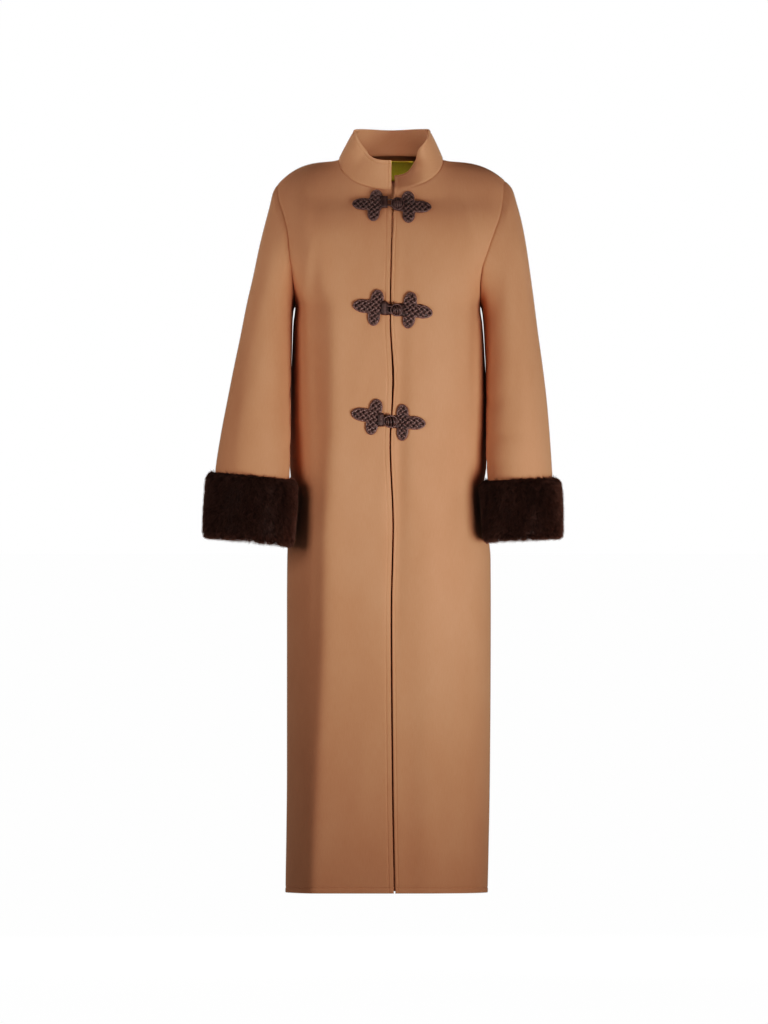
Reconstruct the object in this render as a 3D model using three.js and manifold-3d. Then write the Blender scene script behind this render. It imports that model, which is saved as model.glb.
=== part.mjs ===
// A long straight coat with a stand collar, fur cuffs and three frog fastenings, worn and hollow.
// Millimetres, +Z up, the front faces -Y. "right" and "left" are the wearer's: right is at -X.
// The origin is between the two points where the shoulder seams meet the collar.
import * as THREE from 'three';
import Module from 'manifold-3d';

const wasm = await Module();
wasm.setup();

// ---- driving sizes ----
const CLOTH = 2.2;          // wall of the double-faced wool
const SEAM = 0.3;           // gap kept between two pieces that are sewn together
const HEM_Z = -1285;        // hem of the body
const UNDERARM_Z = -262;    // lowest point of both armholes
const NECK_HALF = 92;       // half width of the neckline at the shoulder seams
const NECK_SIDE_Z = -3;     // height of the neckline at the shoulder seams
const NECK_FRONT_DROP = 52; // how far the neckline falls to the centre front
const NECK_BACK_RISE = 9;   // how far it rises to the centre back
const NECK_FLARE = { drop: 3.4, width: 9 };   // short fall of the shoulder seam away from the collar
const NECK_ARCH = 25.7;     // height of the shoulder line's arch over the neck
const SHOULDER_TIP = { right: { x: 199, z: -47 }, left: { x: 200, z: -40 } };
const SHOULDER_ROUND = { front: 150, back: 130 }; // height over which the shoulder rounds over

// The body, from above the shoulder to the hem. right and left: reach of the panel's edge from the
// middle, at the armhole and then at the side seam. share: that reach as a part of the full section.
// front and back: depth of each face. roll: where the right front turns its soft corner.
const BODY = [
  { z: 20, right: 200, left: 200, share: 0.92, front: 86, back: 112, roll: 0.72 },
  { z: -66, right: 197, left: 196.5, share: 0.9, front: 92, back: 111, roll: 0.72 },
  { z: -100, right: 187, left: 191, share: 0.87, front: 104, back: 112, roll: 0.71 },
  { z: -132, right: 180, left: 180, share: 0.85, front: 112, back: 112, roll: 0.7 },
  { z: -168, right: 176.5, left: 168, share: 0.85, front: 118, back: 111, roll: 0.69 },
  { z: -190, right: 174, left: 161, share: 0.87, front: 121, back: 110, roll: 0.68 },
  { z: -225, right: 170.5, left: 157, share: 0.93, front: 124, back: 108, roll: 0.68 },
  { z: -262, right: 167.5, left: 156.6, share: 1, front: 126, back: 106, roll: 0.68 },
  { z: -290, right: 170.8, left: 160.2, share: 1, front: 125.8, back: 104.8, roll: 0.678 },
  { z: -330, right: 172.4, left: 163.2, share: 1, front: 125.5, back: 103.5, roll: 0.675 },
  { z: -400, right: 175, left: 166.5, share: 1, front: 125, back: 101, roll: 0.67 },
  { z: -470, right: 177, left: 168, share: 1, front: 126, back: 102.5, roll: 0.675 },
  { z: -535, right: 177, left: 167.5, share: 1, front: 127, back: 104, roll: 0.68 },
  { z: -588, right: 173, left: 160.5, share: 1, front: 128, back: 105.5, roll: 0.68 },
  { z: -640, right: 177.5, left: 167, share: 1, front: 128.5, back: 107, roll: 0.68 },
  { z: -700, right: 181.5, left: 174.5, share: 1, front: 129, back: 108.5, roll: 0.68 },
  { z: -780, right: 182, left: 175, share: 1, front: 130, back: 110, roll: 0.68 },
  { z: -1070, right: 182, left: 173.5, share: 1, front: 133, back: 115, roll: 0.75 },
  { z: -1285, right: 184.6, left: 169.5, share: 1, front: 136, back: 120, roll: 0.78 },
];

// Centre front: x of the meeting line and the opening between its two edges.
const OPENING = [
  { z: 20, x: 3.7, gap: 5 },
  { z: -68, x: 3.5, gap: 5 },
  { z: -161, x: 0.9, gap: 2.2 },
  { z: -280, x: -0.9, gap: 2.2 },
  { z: -388, x: 4.2, gap: 3.5 },
  { z: -439, x: 2.3, gap: 2.8 },
  { z: -499, x: -0.9, gap: 2.8 },
  { z: -642, x: 4.2, gap: 2.8 },
  { z: -800, x: 1.1, gap: 2.8 },
  { z: -1108, x: 3.3, gap: 2.8 },
  { z: -1285, x: 6.6, gap: 2.8 },
];

// Large soft troughs in the cloth: x at the top, sideways drift down to the foot, width and depth.
const FOLDS = [
  { face: 'front', x: -118, drift: -6, top: -190, foot: -620, width: 15, depth: 8 },
  { face: 'front', x: 26, drift: 6, top: -520, foot: -1400, width: 22, depth: 3.5 },
  { face: 'front', x: 92, drift: 16, top: -640, foot: -1400, width: 26, depth: 4 },
  { face: 'front', x: 132, drift: 4, top: -230, foot: -560, width: 14, depth: 5 },
  { face: 'back', x: -104, drift: -18, top: -330, foot: -1400, width: 26, depth: 8 },
  { face: 'back', x: -22, drift: 14, top: -560, foot: -1400, width: 30, depth: 5 },
  { face: 'back', x: 84, drift: 22, top: -270, foot: -1400, width: 24, depth: 7 },
];

// Rings of each sleeve from armhole to wrist. The outer and inner points are its two outlines
// from the front. y: depth of the ring's centre. depth: half of its size from front to back.
const SLEEVE = {
  right: [
    { outerX: 199, outerZ: -47, innerX: 167.5, innerZ: -262, y: 0, depth: 71 },
    { outerX: 206, outerZ: -60, innerX: 169.6, innerZ: -266, y: -1, depth: 71 },
    { outerX: 213, outerZ: -88, innerX: 170.8, innerZ: -274, y: -3, depth: 70 },
    { outerX: 222, outerZ: -122, innerX: 171.8, innerZ: -288, y: -6, depth: 69 },
    { outerX: 231, outerZ: -159, innerX: 172.3, innerZ: -306, y: -10, depth: 68 },
    { outerX: 241, outerZ: -207, innerX: 172.8, innerZ: -332, y: -16, depth: 67 },
    { outerX: 252, outerZ: -255, innerX: 173.6, innerZ: -364, y: -23, depth: 66 },
    { outerX: 263, outerZ: -311, innerX: 174, innerZ: -404, y: -32, depth: 65 },
    { outerX: 275, outerZ: -369, innerX: 174.4, innerZ: -448, y: -42, depth: 64 },
    { outerX: 286, outerZ: -425, innerX: 175, innerZ: -488, y: -52, depth: 63 },
    { outerX: 297, outerZ: -483, innerX: 176, innerZ: -521, y: -62, depth: 62 },
    { outerX: 306, outerZ: -541, innerX: 177, innerZ: -556, y: -71, depth: 61 },
    { outerX: 311, outerZ: -597, innerX: 179, innerZ: -608, y: -80, depth: 60 },
    { outerX: 315, outerZ: -660, innerX: 183, innerZ: -675, y: -89, depth: 60 },
  ],
  left: [
    { outerX: 200, outerZ: -40, innerX: 156.6, innerZ: -262, y: 0, depth: 71 },
    { outerX: 212, outerZ: -54, innerX: 158.6, innerZ: -266, y: -1, depth: 71 },
    { outerX: 221, outerZ: -82, innerX: 160, innerZ: -274, y: -3, depth: 70 },
    { outerX: 230, outerZ: -117, innerX: 161.4, innerZ: -288, y: -6, depth: 69 },
    { outerX: 237, outerZ: -155, innerX: 162.7, innerZ: -306, y: -10, depth: 68 },
    { outerX: 243.5, outerZ: -200, innerX: 163.9, innerZ: -332, y: -16, depth: 67 },
    { outerX: 250, outerZ: -248, innerX: 165.4, innerZ: -364, y: -23, depth: 66 },
    { outerX: 257, outerZ: -304, innerX: 165.6, innerZ: -404, y: -32, depth: 65 },
    { outerX: 265, outerZ: -362, innerX: 165.8, innerZ: -448, y: -42, depth: 63 },
    { outerX: 272, outerZ: -420, innerX: 166, innerZ: -488, y: -52, depth: 61 },
    { outerX: 277.5, outerZ: -484, innerX: 166.4, innerZ: -522, y: -62, depth: 59 },
    { outerX: 282, outerZ: -552, innerX: 168.5, innerZ: -558, y: -71, depth: 57 },
    { outerX: 285, outerZ: -603, innerX: 172.5, innerZ: -604, y: -80, depth: 56 },
    { outerX: 287, outerZ: -661, innerX: 175, innerZ: -667, y: -89, depth: 56 },
  ],
};
const SLEEVE_END = 12.9;    // row at which the sleeve ends, just inside its fur cuff
const CUFF_TOP = 11.15;     // row at which the fur cuff starts

// The fur cuff: its profile from the upper edge round to the lower one. along: part of its length,
// out: distance outside the sleeve.
const FUR = 18;
const CUFF_PROFILE = [
  { along: 0.03, out: 0.8 },
  { along: 0, out: FUR * 0.38 },
  { along: 0.025, out: FUR * 0.72 },
  { along: 0.11, out: FUR * 0.95 },
  { along: 0.35, out: FUR },
  { along: 0.65, out: FUR },
  { along: 0.89, out: FUR * 0.95 },
  { along: 0.975, out: FUR * 0.72 },
  { along: 1, out: FUR * 0.38 },
  { along: 0.985, out: 0.8 },
  { along: 0.5, out: 0.8 },
];

// The collar band round the neck, from the centre front (0) to the centre back (180). right and
// left: how far it leans inward, in degrees. height: width of the band. shift: the left side leans
// towards a point that lies so far to the left of the middle.
const COLLAR = [
  { around: 0, right: 4, left: 61, height: 50, shift: 6 },
  { around: 18, right: 12, left: 58, height: 51, shift: 26 },
  { around: 36, right: 24, left: 38, height: 55, shift: 36 },
  { around: 54, right: 35, left: 22, height: 60, shift: 10 },
  { around: 90, right: 31, left: 26, height: 58, shift: 0 },
  { around: 135, right: 17, left: 17, height: 50, shift: 0 },
  { around: 180, right: 10, left: 10, height: 44, shift: 0 },
  { around: 225, right: 17, left: 17, height: 50, shift: 0 },
];

// The label, by the rows and columns of the back panel that it lies on.
const LABEL = { rows: [0.3, 0.8, 1.65], columns: [-1.5, -1, 0, 1, 1.5], thickness: 0.8, clearance: 1.2 };

// The frogs. loop, knot: centre of the trefoil on the right and on the left front. ball: centre of
// the ball knot. neck: middle of the wrapped neck. turns: degrees clockwise that the trefoils are
// turned. slope: how much shorter the slanting cloth makes them look from the front.
const FROGS = [
  { name: 'top', loop: [-28.4, -84.4], neck: [-10.5, -79.6], ball: [11.6, -85], knot: [31.2, -87.3],
    turns: { loop: 4, knot: 2 }, slope: 0.87 },
  { name: 'middle', loop: [-27.3, -262.5], neck: [-11.4, -264], ball: [8.9, -267], knot: [33.6, -267],
    turns: { loop: 6, knot: 9 }, slope: 1 },
  { name: 'bottom', loop: [-30.1, -452.9], neck: [-17.5, -458.5], ball: [-2.3, -461.8], knot: [21.2, -462.9],
    turns: { loop: 9, knot: 4 }, slope: 1 },
];
// A trefoil's lobes, each an ellipse: its centre and its half sizes, away from the opening and up.
const LOBES = [
  { name: 'heart', away: 1, up: 0, halfAway: 15.5, halfUp: 16.5 },
  { name: 'outer', away: 19.5, up: 0, halfAway: 20, halfUp: 12 },
  { name: 'upper', away: -2, up: 15.5, halfAway: 11.5, halfUp: 16 },
  { name: 'lower', away: 0.5, up: -16, halfAway: 11, halfUp: 17 },
];
const TREFOIL_RISE = 5.2;   // how far the coiled cord stands off the cloth
const BALL_R = 7.4;         // ball knot
const CORD_R = 1.7;         // cord of the loop
const NECK_BAND = { width: 10, height: 23, rise: 6.5 };
const ON_CLOTH = 0.6;       // clearance of what is sewn on a panel

// ---- grids ----
const HALF_COLUMNS = 12;    // columns from the middle of the body to its edge
const NECK_COLUMNS = 5;     // those of them that end on the neckline
const ARM_ROWS = 12;        // rows from the shoulder tip to the underarm
const YOKE_ROWS = 6;        // those of them that follow the neckline and shoulder
const SKIRT_Z = [-305, -360, -420, -485, -550, -615, -690, -790, -900, -1025, -1155, HEM_Z];
const CUFF_COLUMNS = 28;

const colours = { wool: 0xb47d57, fur: 0x2e1a12, cord: 0x4b322c, label: 0x9a8c14 };

/** Smooth value of one column of a table at a place, with no overshoot between its rows. */
function read(rows, by, key, at) {
  const last = rows.length - 1;
  const sign = Math.sign(rows[last][by] - rows[0][by]);
  const t = (row) => rows[row][by] * sign;
  if (at * sign <= t(0)) return rows[0][key];
  if (at * sign >= t(last)) return rows[last][key];
  let i = 0;
  while (t(i + 1) < at * sign) i += 1;
  const slope = (a) => (rows[a + 1][key] - rows[a][key]) / (t(a + 1) - t(a));
  const tangent = (a) => {
    if (a === 0) return slope(0);
    if (a === last) return slope(last - 1);
    const before = slope(a - 1);
    const after = slope(a);
    return before * after <= 0 ? 0 : (2 * before * after) / (before + after);
  };
  const span = t(i + 1) - t(i);
  const f = (at * sign - t(i)) / span;
  const rise = f * f * (3 - 2 * f);
  const value = rows[i][key] * (1 - rise) + rows[i + 1][key] * rise;
  return value + span * (tangent(i) * f * (1 - f) ** 2 - tangent(i + 1) * f * f * (1 - f));
}

function smoothstep(low, high, value) {
  const t = Math.min(Math.max((value - low) / (high - low), 0), 1);
  return t * t * (3 - 2 * t);
}

// ---- closed solids from grids of points ----

/** Mesh data with its faces turned outwards, made into a geometry. */
function solid(points, triangles) {
  let volume = 0;
  for (const [a, b, c] of triangles) {
    volume += points[a].dot(new THREE.Vector3().crossVectors(points[b], points[c]));
  }
  const turned = volume < 0 ? triangles.map(([a, b, c]) => [a, c, b]) : triangles;
  const geometry = new THREE.BufferGeometry();
  geometry.setAttribute('position', new THREE.Float32BufferAttribute(points.flatMap((p) => p.toArray()), 3));
  geometry.setIndex(turned.flat());
  return geometry;
}

/** A wall of cloth: a grid of outer points, and the vectors that lead to its inner points. */
function wall(outer, inward, round = false) {
  const rows = outer.length;
  const columns = outer[0].length;
  const inner = outer.map((row, r) => row.map((p, c) => p.clone().add(inward[r][c])));
  const points = [...outer.flat(), ...inner.flat()];
  const at = (layer, r, c) => (layer * rows + r) * columns + (c % columns);
  const triangles = [];
  const quad = (a, b, c, d) => triangles.push([a, b, c], [a, c, d]);
  const spans = round ? columns : columns - 1;
  for (let r = 0; r < rows - 1; r += 1) {
    for (let c = 0; c < spans; c += 1) {
      quad(at(0, r, c), at(0, r, c + 1), at(0, r + 1, c + 1), at(0, r + 1, c));
      quad(at(1, r, c), at(1, r + 1, c), at(1, r + 1, c + 1), at(1, r, c + 1));
    }
  }
  for (let c = 0; c < spans; c += 1) {
    quad(at(0, 0, c + 1), at(0, 0, c), at(1, 0, c), at(1, 0, c + 1));
    quad(at(0, rows - 1, c), at(0, rows - 1, c + 1), at(1, rows - 1, c + 1), at(1, rows - 1, c));
  }
  if (!round) {
    for (let r = 0; r < rows - 1; r += 1) {
      quad(at(0, r, 0), at(0, r + 1, 0), at(1, r + 1, 0), at(1, r, 0));
      quad(at(0, r + 1, spans), at(0, r, spans), at(1, r, spans), at(1, r + 1, spans));
    }
  }
  return solid(points, triangles);
}

/** A closed profile carried round a closed path, as a grid that joins up both ways. */
function ring(grid) {
  const rows = grid.length;
  const columns = grid[0].length;
  const at = (r, c) => (r % rows) * columns + (c % columns);
  const triangles = [];
  for (let r = 0; r < rows; r += 1) {
    for (let c = 0; c < columns; c += 1) {
      triangles.push([at(r, c), at(r, c + 1), at(r + 1, c + 1)], [at(r, c), at(r + 1, c + 1), at(r + 1, c)]);
    }
  }
  return solid(grid.flat(), triangles);
}

/** A closed blob: rings of points, each a closed line, capped by a point at either end. */
function capped(start, rings, end) {
  const columns = rings[0].length;
  const points = [start, ...rings.flat(), end];
  const at = (r, c) => 1 + r * columns + (c % columns);
  const triangles = [];
  for (let c = 0; c < columns; c += 1) {
    triangles.push([0, at(0, c + 1), at(0, c)]);
    triangles.push([points.length - 1, at(rings.length - 1, c), at(rings.length - 1, c + 1)]);
    for (let r = 0; r < rings.length - 1; r += 1) {
      triangles.push([at(r, c), at(r, c + 1), at(r + 1, c + 1)], [at(r, c), at(r + 1, c + 1), at(r + 1, c)]);
    }
  }
  return solid(points, triangles);
}

/** Several closed solids joined into one. */
function joined(geometries) {
  const solids = geometries.map((geometry) => {
    const vertProperties = new Float32Array(geometry.attributes.position.array);
    const triVerts = new Uint32Array(geometry.index.array);
    return new wasm.Manifold(new wasm.Mesh({ numProp: 3, vertProperties, triVerts }));
  });
  const mesh = solids.reduce((whole, next) => whole.add(next)).getMesh();
  const geometry = new THREE.BufferGeometry();
  geometry.setAttribute('position', new THREE.Float32BufferAttribute(mesh.vertProperties, 3));
  geometry.setIndex([...mesh.triVerts]);
  return geometry;
}

// ---- the body's two faces, as depths over x and z ----

/** Height of the shoulder seam, which falls ever more to its tip, and of an arch over the neck. */
function shoulderZ(x) {
  const { drop, width } = NECK_FLARE;
  const outside = Math.abs(x) - NECK_HALF;
  if (outside <= 0) {
    const t = Math.abs(x) / NECK_HALF;
    const rise = NECK_ARCH * (2 * t ** 3 - 3 * t ** 2 + 1);
    return NECK_SIDE_Z + rise + (drop / width) * NECK_HALF * t ** 2 * (1 - t);
  }
  const tip = x < 0 ? SHOULDER_TIP.right : SHOULDER_TIP.left;
  const fall = (NECK_SIDE_Z - drop - tip.z) * (outside / (tip.x - NECK_HALF)) ** 3;
  return NECK_SIDE_Z - drop * (1 - Math.exp(-outside / width)) - fall;
}

/** Section that rounds evenly from the middle to the side seam. */
function evenSection(share) {
  return (1 - share ** 2.7) ** 0.455;
}

/** Section that stays flat as far as a soft corner, and then runs back to the side seam. */
function rolledSection(share, roll) {
  const softness = 18;
  const flat = 1 - 0.05 * share ** 2;
  const side = 0.93 * ((1 - share) / (1 - roll)) ** 0.585;
  return -Math.log(Math.exp(-flat * softness) + Math.exp(-side * softness)) / softness;
}

function foldDepth(face, x, z) {
  let total = 0;
  for (const fold of FOLDS.filter((entry) => entry.face === face)) {
    const down = (fold.top - z) / (fold.top - HEM_Z);
    const offset = (x - fold.x - fold.drift * down) / fold.width;
    const fade = smoothstep(fold.top, fold.top - 150, z) * smoothstep(fold.foot, fold.foot + 150, z);
    total += fold.depth * fade * Math.exp(-offset * offset);
  }
  return total;
}

/** Distance of the outer face from the plane of the side seams. */
function depthAt(face, x, z) {
  const side = x < 0 ? 'right' : 'left';
  const half = read(BODY, 'z', side, z) / read(BODY, 'z', 'share', z);
  const share = Math.min(Math.abs(x) / half, 1);
  const rolled = face === 'front' && side === 'right';
  const section = Math.max(rolled ? rolledSection(share, read(BODY, 'z', 'roll', z)) : evenSection(share), 0);
  const over = Math.min(Math.max((shoulderZ(x) - z) / SHOULDER_ROUND[face], 0), 1);
  const ridge = Math.sqrt(1 - (1 - over) ** 2);
  const nearSide = smoothstep(0, 0.35, section * ridge);
  return read(BODY, 'z', face, z) * section * ridge - foldDepth(face, x, z) * nearSide;
}

function facePoint(face, x, z) {
  const out = depthAt(face, x, z) + SEAM / 2;
  return new THREE.Vector3(x, face === 'front' ? -out : out, z);
}

/** Unit vector from the outer face into the coat. */
function faceInward(face, x, z) {
  const step = 0.6;
  const alongX = (depthAt(face, x + step, z) - depthAt(face, x - step, z)) / (2 * step);
  const alongZ = (depthAt(face, x, z + step) - depthAt(face, x, z - step)) / (2 * step);
  return new THREE.Vector3(alongX, face === 'front' ? 1 : -1, alongZ).normalize();
}

/** Direction that the collar's seam edge and the panels' seam edge share. */
function neckInward(point) {
  const flat = new THREE.Vector3(-point.x, -12 - point.y, 0).normalize();
  return flat.multiplyScalar(0.8).add(new THREE.Vector3(0, 0, -0.6));
}

/** Direction that the armhole's edge and the sleeve's edge share: to the middle of the armhole. */
function armholeInward(point, side) {
  const middle = (SHOULDER_TIP[side].z + UNDERARM_Z) / 2;
  return new THREE.Vector3(0, -point.y, middle - point.z).normalize();
}

function neckline(face, side, column) {
  const angle = (column / NECK_COLUMNS) * (Math.PI / 2);
  const x = NECK_HALF * Math.sin(angle) * (side === 'right' ? -1 : 1);
  const fall = face === 'front' ? -NECK_FRONT_DROP : NECK_BACK_RISE;
  return { x, z: NECK_SIDE_Z + fall * Math.cos(angle) };
}

function columnShare(column) {
  return 1 - (1 - column / HALF_COLUMNS) ** 1.6;
}

function openingEdge(side, z) {
  const half = read(OPENING, 'z', 'gap', z) / 2;
  return read(OPENING, 'z', 'x', z) + (side === 'right' ? -half : half);
}

/** Top of one column: on the neckline, and past it on the shoulder seam. */
function columnTop(face, side, column) {
  if (column <= NECK_COLUMNS) {
    const top = neckline(face, side, column);
    if (face === 'front' && column === 0) top.x = openingEdge(side, top.z);
    return top;
  }
  const tip = SHOULDER_TIP[side];
  const start = columnShare(NECK_COLUMNS);
  const along = (columnShare(column) - start) / (1 - start);
  const x = (NECK_HALF + (tip.x - NECK_HALF) * along) * (side === 'right' ? -1 : 1);
  return { x, z: shoulderZ(x) };
}

/** x of one column on a level row. */
function levelX(face, side, column, z) {
  const edge = read(BODY, 'z', side, z) * (side === 'right' ? -1 : 1);
  const start = face === 'front' ? openingEdge(side, z) : 0;
  return start + (edge - start) * columnShare(column);
}

function armRowZ(side, row) {
  const tip = SHOULDER_TIP[side].z;
  return tip + ((UNDERARM_Z - tip) * (1 - Math.cos((Math.PI * row) / ARM_ROWS))) / 2;
}

const ROWS = ARM_ROWS + SKIRT_Z.length;

/** x and z of one point in half a panel. */
function panelPlace(face, side, row, column) {
  if (row > ARM_ROWS) {
    const z = SKIRT_Z[row - ARM_ROWS - 1];
    return { x: levelX(face, side, column, z), z };
  }
  const rowZ = armRowZ(side, row);
  if (row >= YOKE_ROWS) return { x: levelX(face, side, column, rowZ), z: rowZ };
  const baseZ = armRowZ(side, YOKE_ROWS);
  const tip = SHOULDER_TIP[side];
  const tipDown = (rowZ - tip.z) / (baseZ - tip.z);
  const down = row / YOKE_ROWS + (tipDown - row / YOKE_ROWS) * columnShare(column) ** 3;
  const top = columnTop(face, side, column);
  const baseX = levelX(face, side, column, baseZ);
  const out = side === 'right' ? -1 : 1;
  const straight = out * (tip.x + (read(BODY, 'z', side, baseZ) - tip.x) * tipDown);
  const bow = out * read(BODY, 'z', side, rowZ) - straight;
  const atEdge = row === 0 ? 0 : columnShare(column) ** 4;
  const z = top.z + (baseZ - top.z) * down;
  let x = top.x + (baseX - top.x) * down + bow * atEdge;
  if (face === 'front' && column === 0) x = openingEdge(side, z);
  return { x, z };
}

function panelInward(face, side, row, column, place) {
  const point = facePoint(face, place.x, place.z);
  const out = side === 'right' ? -1 : 1;
  let inward;
  if (row === 0 && column <= NECK_COLUMNS) inward = neckInward(point);
  else if (column === HALF_COLUMNS && row <= ARM_ROWS) inward = armholeInward(point, side);
  else if (row === 0) inward = new THREE.Vector3(0, 0, -1);
  else if (column === HALF_COLUMNS) inward = new THREE.Vector3(-out, 0, 0);
  else inward = faceInward(face, place.x, place.z);
  if (row === ROWS) inward.setZ(0).normalize();
  return inward.multiplyScalar(CLOTH);
}

/** Outer points and inward vectors of a panel, over a list of [side, column] pairs. */
function panelGrid(face, columns) {
  const outer = [];
  const inward = [];
  for (let row = 0; row <= ROWS; row += 1) {
    const places = columns.map(([side, column]) => panelPlace(face, side, row, column));
    outer.push(places.map(({ x, z }) => facePoint(face, x, z)));
    inward.push(places.map((place, i) => panelInward(face, ...[columns[i][0], row, columns[i][1]], place)));
  }
  return { outer, inward };
}

const halfRange = Array.from({ length: HALF_COLUMNS + 1 }, (_, column) => column);

function makeFront(side) {
  const { outer, inward } = panelGrid('front', halfRange.map((column) => [side, column]));
  return wall(outer, inward);
}

const backRight = halfRange.slice(1).reverse().map((column) => ['right', column]);
const backLeft = halfRange.map((column) => ['left', column]);
const back = panelGrid('back', [...backRight, ...backLeft]);

/** Value between the points of a grid, at a row and column that may be fractions. */
function between(grid, row, column) {
  const r = Math.floor(row);
  const c = Math.floor(column);
  const upper = grid[r][c].clone().lerp(grid[r][c + 1], column - c);
  const lower = grid[r + 1][c].clone().lerp(grid[r + 1][c + 1], column - c);
  return upper.lerp(lower, row - r);
}

// ---- sleeves ----

/** Armhole point of one column of the sleeve, counted from the shoulder tip round the front. */
function armholePoint(side, column) {
  const turned = column % (2 * ARM_ROWS);
  const row = turned <= ARM_ROWS ? turned : 2 * ARM_ROWS - turned;
  const face = turned <= ARM_ROWS ? 'front' : 'back';
  const place = panelPlace(face, side, row, HALF_COLUMNS);
  const point = facePoint(face, place.x, place.z);
  if (row === 0 || row === ARM_ROWS) point.y = 0;
  point.x += side === 'right' ? -SEAM : SEAM;
  return point;
}

/** Sleeve surface: rings that turn from the armhole's plane to the wrist's. */
function sleevePoint(side, place, angle) {
  const rows = SLEEVE[side].map((row, index) => ({ ...row, index }));
  const value = (key) => read(rows, 'index', key, place);
  const out = side === 'right' ? -1 : 1;
  const outer = new THREE.Vector3(out * value('outerX'), 0, value('outerZ'));
  const inner = new THREE.Vector3(out * value('innerX'), 0, value('innerZ'));
  const middle = outer.clone().add(inner).multiplyScalar(0.5);
  const axis = outer.clone().sub(inner).multiplyScalar(0.5);
  middle.addScaledVector(axis, Math.cos(angle));
  middle.y = value('y') - value('depth') * Math.sin(angle);
  return middle;
}

function makeSleeve(side) {
  const columns = 2 * ARM_ROWS;
  const places = [0, 0.5, 1, 2, 3, 4, 5, 6, 7, 8, 9, 10, 11, 12, SLEEVE_END];
  const outer = places.map((place) => Array.from({ length: columns }, (_, column) => {
    const angle = (column / columns) * 2 * Math.PI;
    const point = sleevePoint(side, place, angle);
    const toArmhole = armholePoint(side, column).sub(sleevePoint(side, 0, angle));
    const fade = 1 - smoothstep(0, 4, place);
    return point.addScaledVector(toArmhole, fade);
  }));
  const out = side === 'right' ? -1 : 1;
  const inward = outer.map((row, r) => row.map((point, c) => {
    if (r === 0) return armholeInward(point, side).multiplyScalar(CLOTH);
    const below = outer[Math.min(r + 1, outer.length - 1)][c];
    const down = below.clone().sub(outer[r - 1][c]);
    const round = row[(c + 1) % columns].clone().sub(row[(c + columns - 1) % columns]);
    return down.cross(round).normalize().multiplyScalar(out * CLOTH);
  }));
  return wall(outer, inward, true);
}

function makeCuff(side) {
  const last = SLEEVE[side].length - 1;
  const grid = Array.from({ length: CUFF_COLUMNS }, (_, column) => {
    const angle = (column / CUFF_COLUMNS) * 2 * Math.PI;
    const top = sleevePoint(side, CUFF_TOP, angle);
    const foot = sleevePoint(side, last, angle);
    const middle = sleevePoint(side, last, 0).add(sleevePoint(side, last, Math.PI)).multiplyScalar(0.5);
    const along = foot.clone().sub(top).normalize();
    const outward = foot.clone().sub(middle);
    outward.addScaledVector(along, -outward.dot(along)).normalize();
    return CUFF_PROFILE.map((row) => {
      const place = CUFF_TOP + (last - CUFF_TOP) * row.along;
      return sleevePoint(side, place, angle).addScaledVector(outward, row.out);
    });
  });
  return ring(grid);
}

// ---- collar and label ----

function makeCollar() {
  const route = [];
  for (let column = 0; column <= NECK_COLUMNS; column += 1) route.push(['front', 'right', column]);
  for (let column = NECK_COLUMNS - 1; column >= 0; column -= 1) route.push(['back', 'right', column]);
  for (let column = 1; column <= NECK_COLUMNS; column += 1) route.push(['back', 'left', column]);
  for (let column = NECK_COLUMNS - 1; column >= 0; column -= 1) route.push(['front', 'left', column]);
  const heights = [0, 0.25, 0.5, 0.75, 1];
  const outer = heights.map(() => []);
  const inward = heights.map(() => []);
  for (const [face, side, column] of route) {
    const place = columnTop(face, side, column);
    const foot = facePoint(face, place.x, place.z);
    const onSeam = column === NECK_COLUMNS;
    if (onSeam) foot.y = 0;
    const part = (column / NECK_COLUMNS) * 90;
    const around = face === 'front' ? part : 180 - part;
    const lean = THREE.MathUtils.degToRad(read(COLLAR, 'around', side, around));
    const height = read(COLLAR, 'around', 'height', around);
    const leanTo = side === 'left' ? read(COLLAR, 'around', 'shift', around) : 0;
    const toNeck = new THREE.Vector3(leanTo - foot.x, -12 - foot.y, 0).normalize();
    const up = toNeck.clone().multiplyScalar(Math.sin(lean)).setZ(Math.cos(lean));
    const through = toNeck.clone().multiplyScalar(Math.cos(lean)).setZ(-Math.sin(lean));
    heights.forEach((share, row) => {
      const point = foot.clone().addScaledVector(up, height * share);
      if (row === 0) point.z += SEAM;
      outer[row].push(point);
      inward[row].push((row === 0 ? neckInward(foot) : through.clone()).multiplyScalar(CLOTH));
    });
  }
  return wall(outer, inward);
}

function makeLabel() {
  const through = LABEL.rows.map((row) => LABEL.columns.map((column) => (
    between(back.inward, row, column + HALF_COLUMNS))));
  const normals = through.map((row) => row.map((vector) => vector.clone().normalize()));
  const outer = LABEL.rows.map((row, r) => LABEL.columns.map((column, c) => {
    const innerFace = between(back.outer, row, column + HALF_COLUMNS).add(through[r][c]);
    return innerFace.addScaledVector(normals[r][c], LABEL.clearance);
  }));
  return wall(outer, normals.map((row) => row.map((vector) => vector.multiplyScalar(LABEL.thickness))));
}

// ---- frogs ----

/** Point above the front panel: x and z on the cloth, and a rise straight out of it. */
function onFront(x, z, rise) {
  return facePoint('front', x, z).addScaledVector(faceInward('front', x, z), -rise);
}

/** Distance from a trefoil's middle to its outline, in one direction away and up. */
function trefoilReach(away, up) {
  const reaches = LOBES.map((lobe) => {
    const a = (away / lobe.halfAway) ** 2 + (up / lobe.halfUp) ** 2;
    const b = (away * lobe.away) / lobe.halfAway ** 2 + (up * lobe.up) / lobe.halfUp ** 2;
    const c = (lobe.away / lobe.halfAway) ** 2 + (lobe.up / lobe.halfUp) ** 2 - 1;
    const root = b * b - a * c;
    return root < 0 ? 0 : (b + Math.sqrt(root)) / a;
  });
  return Math.max(...reaches);
}

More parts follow.
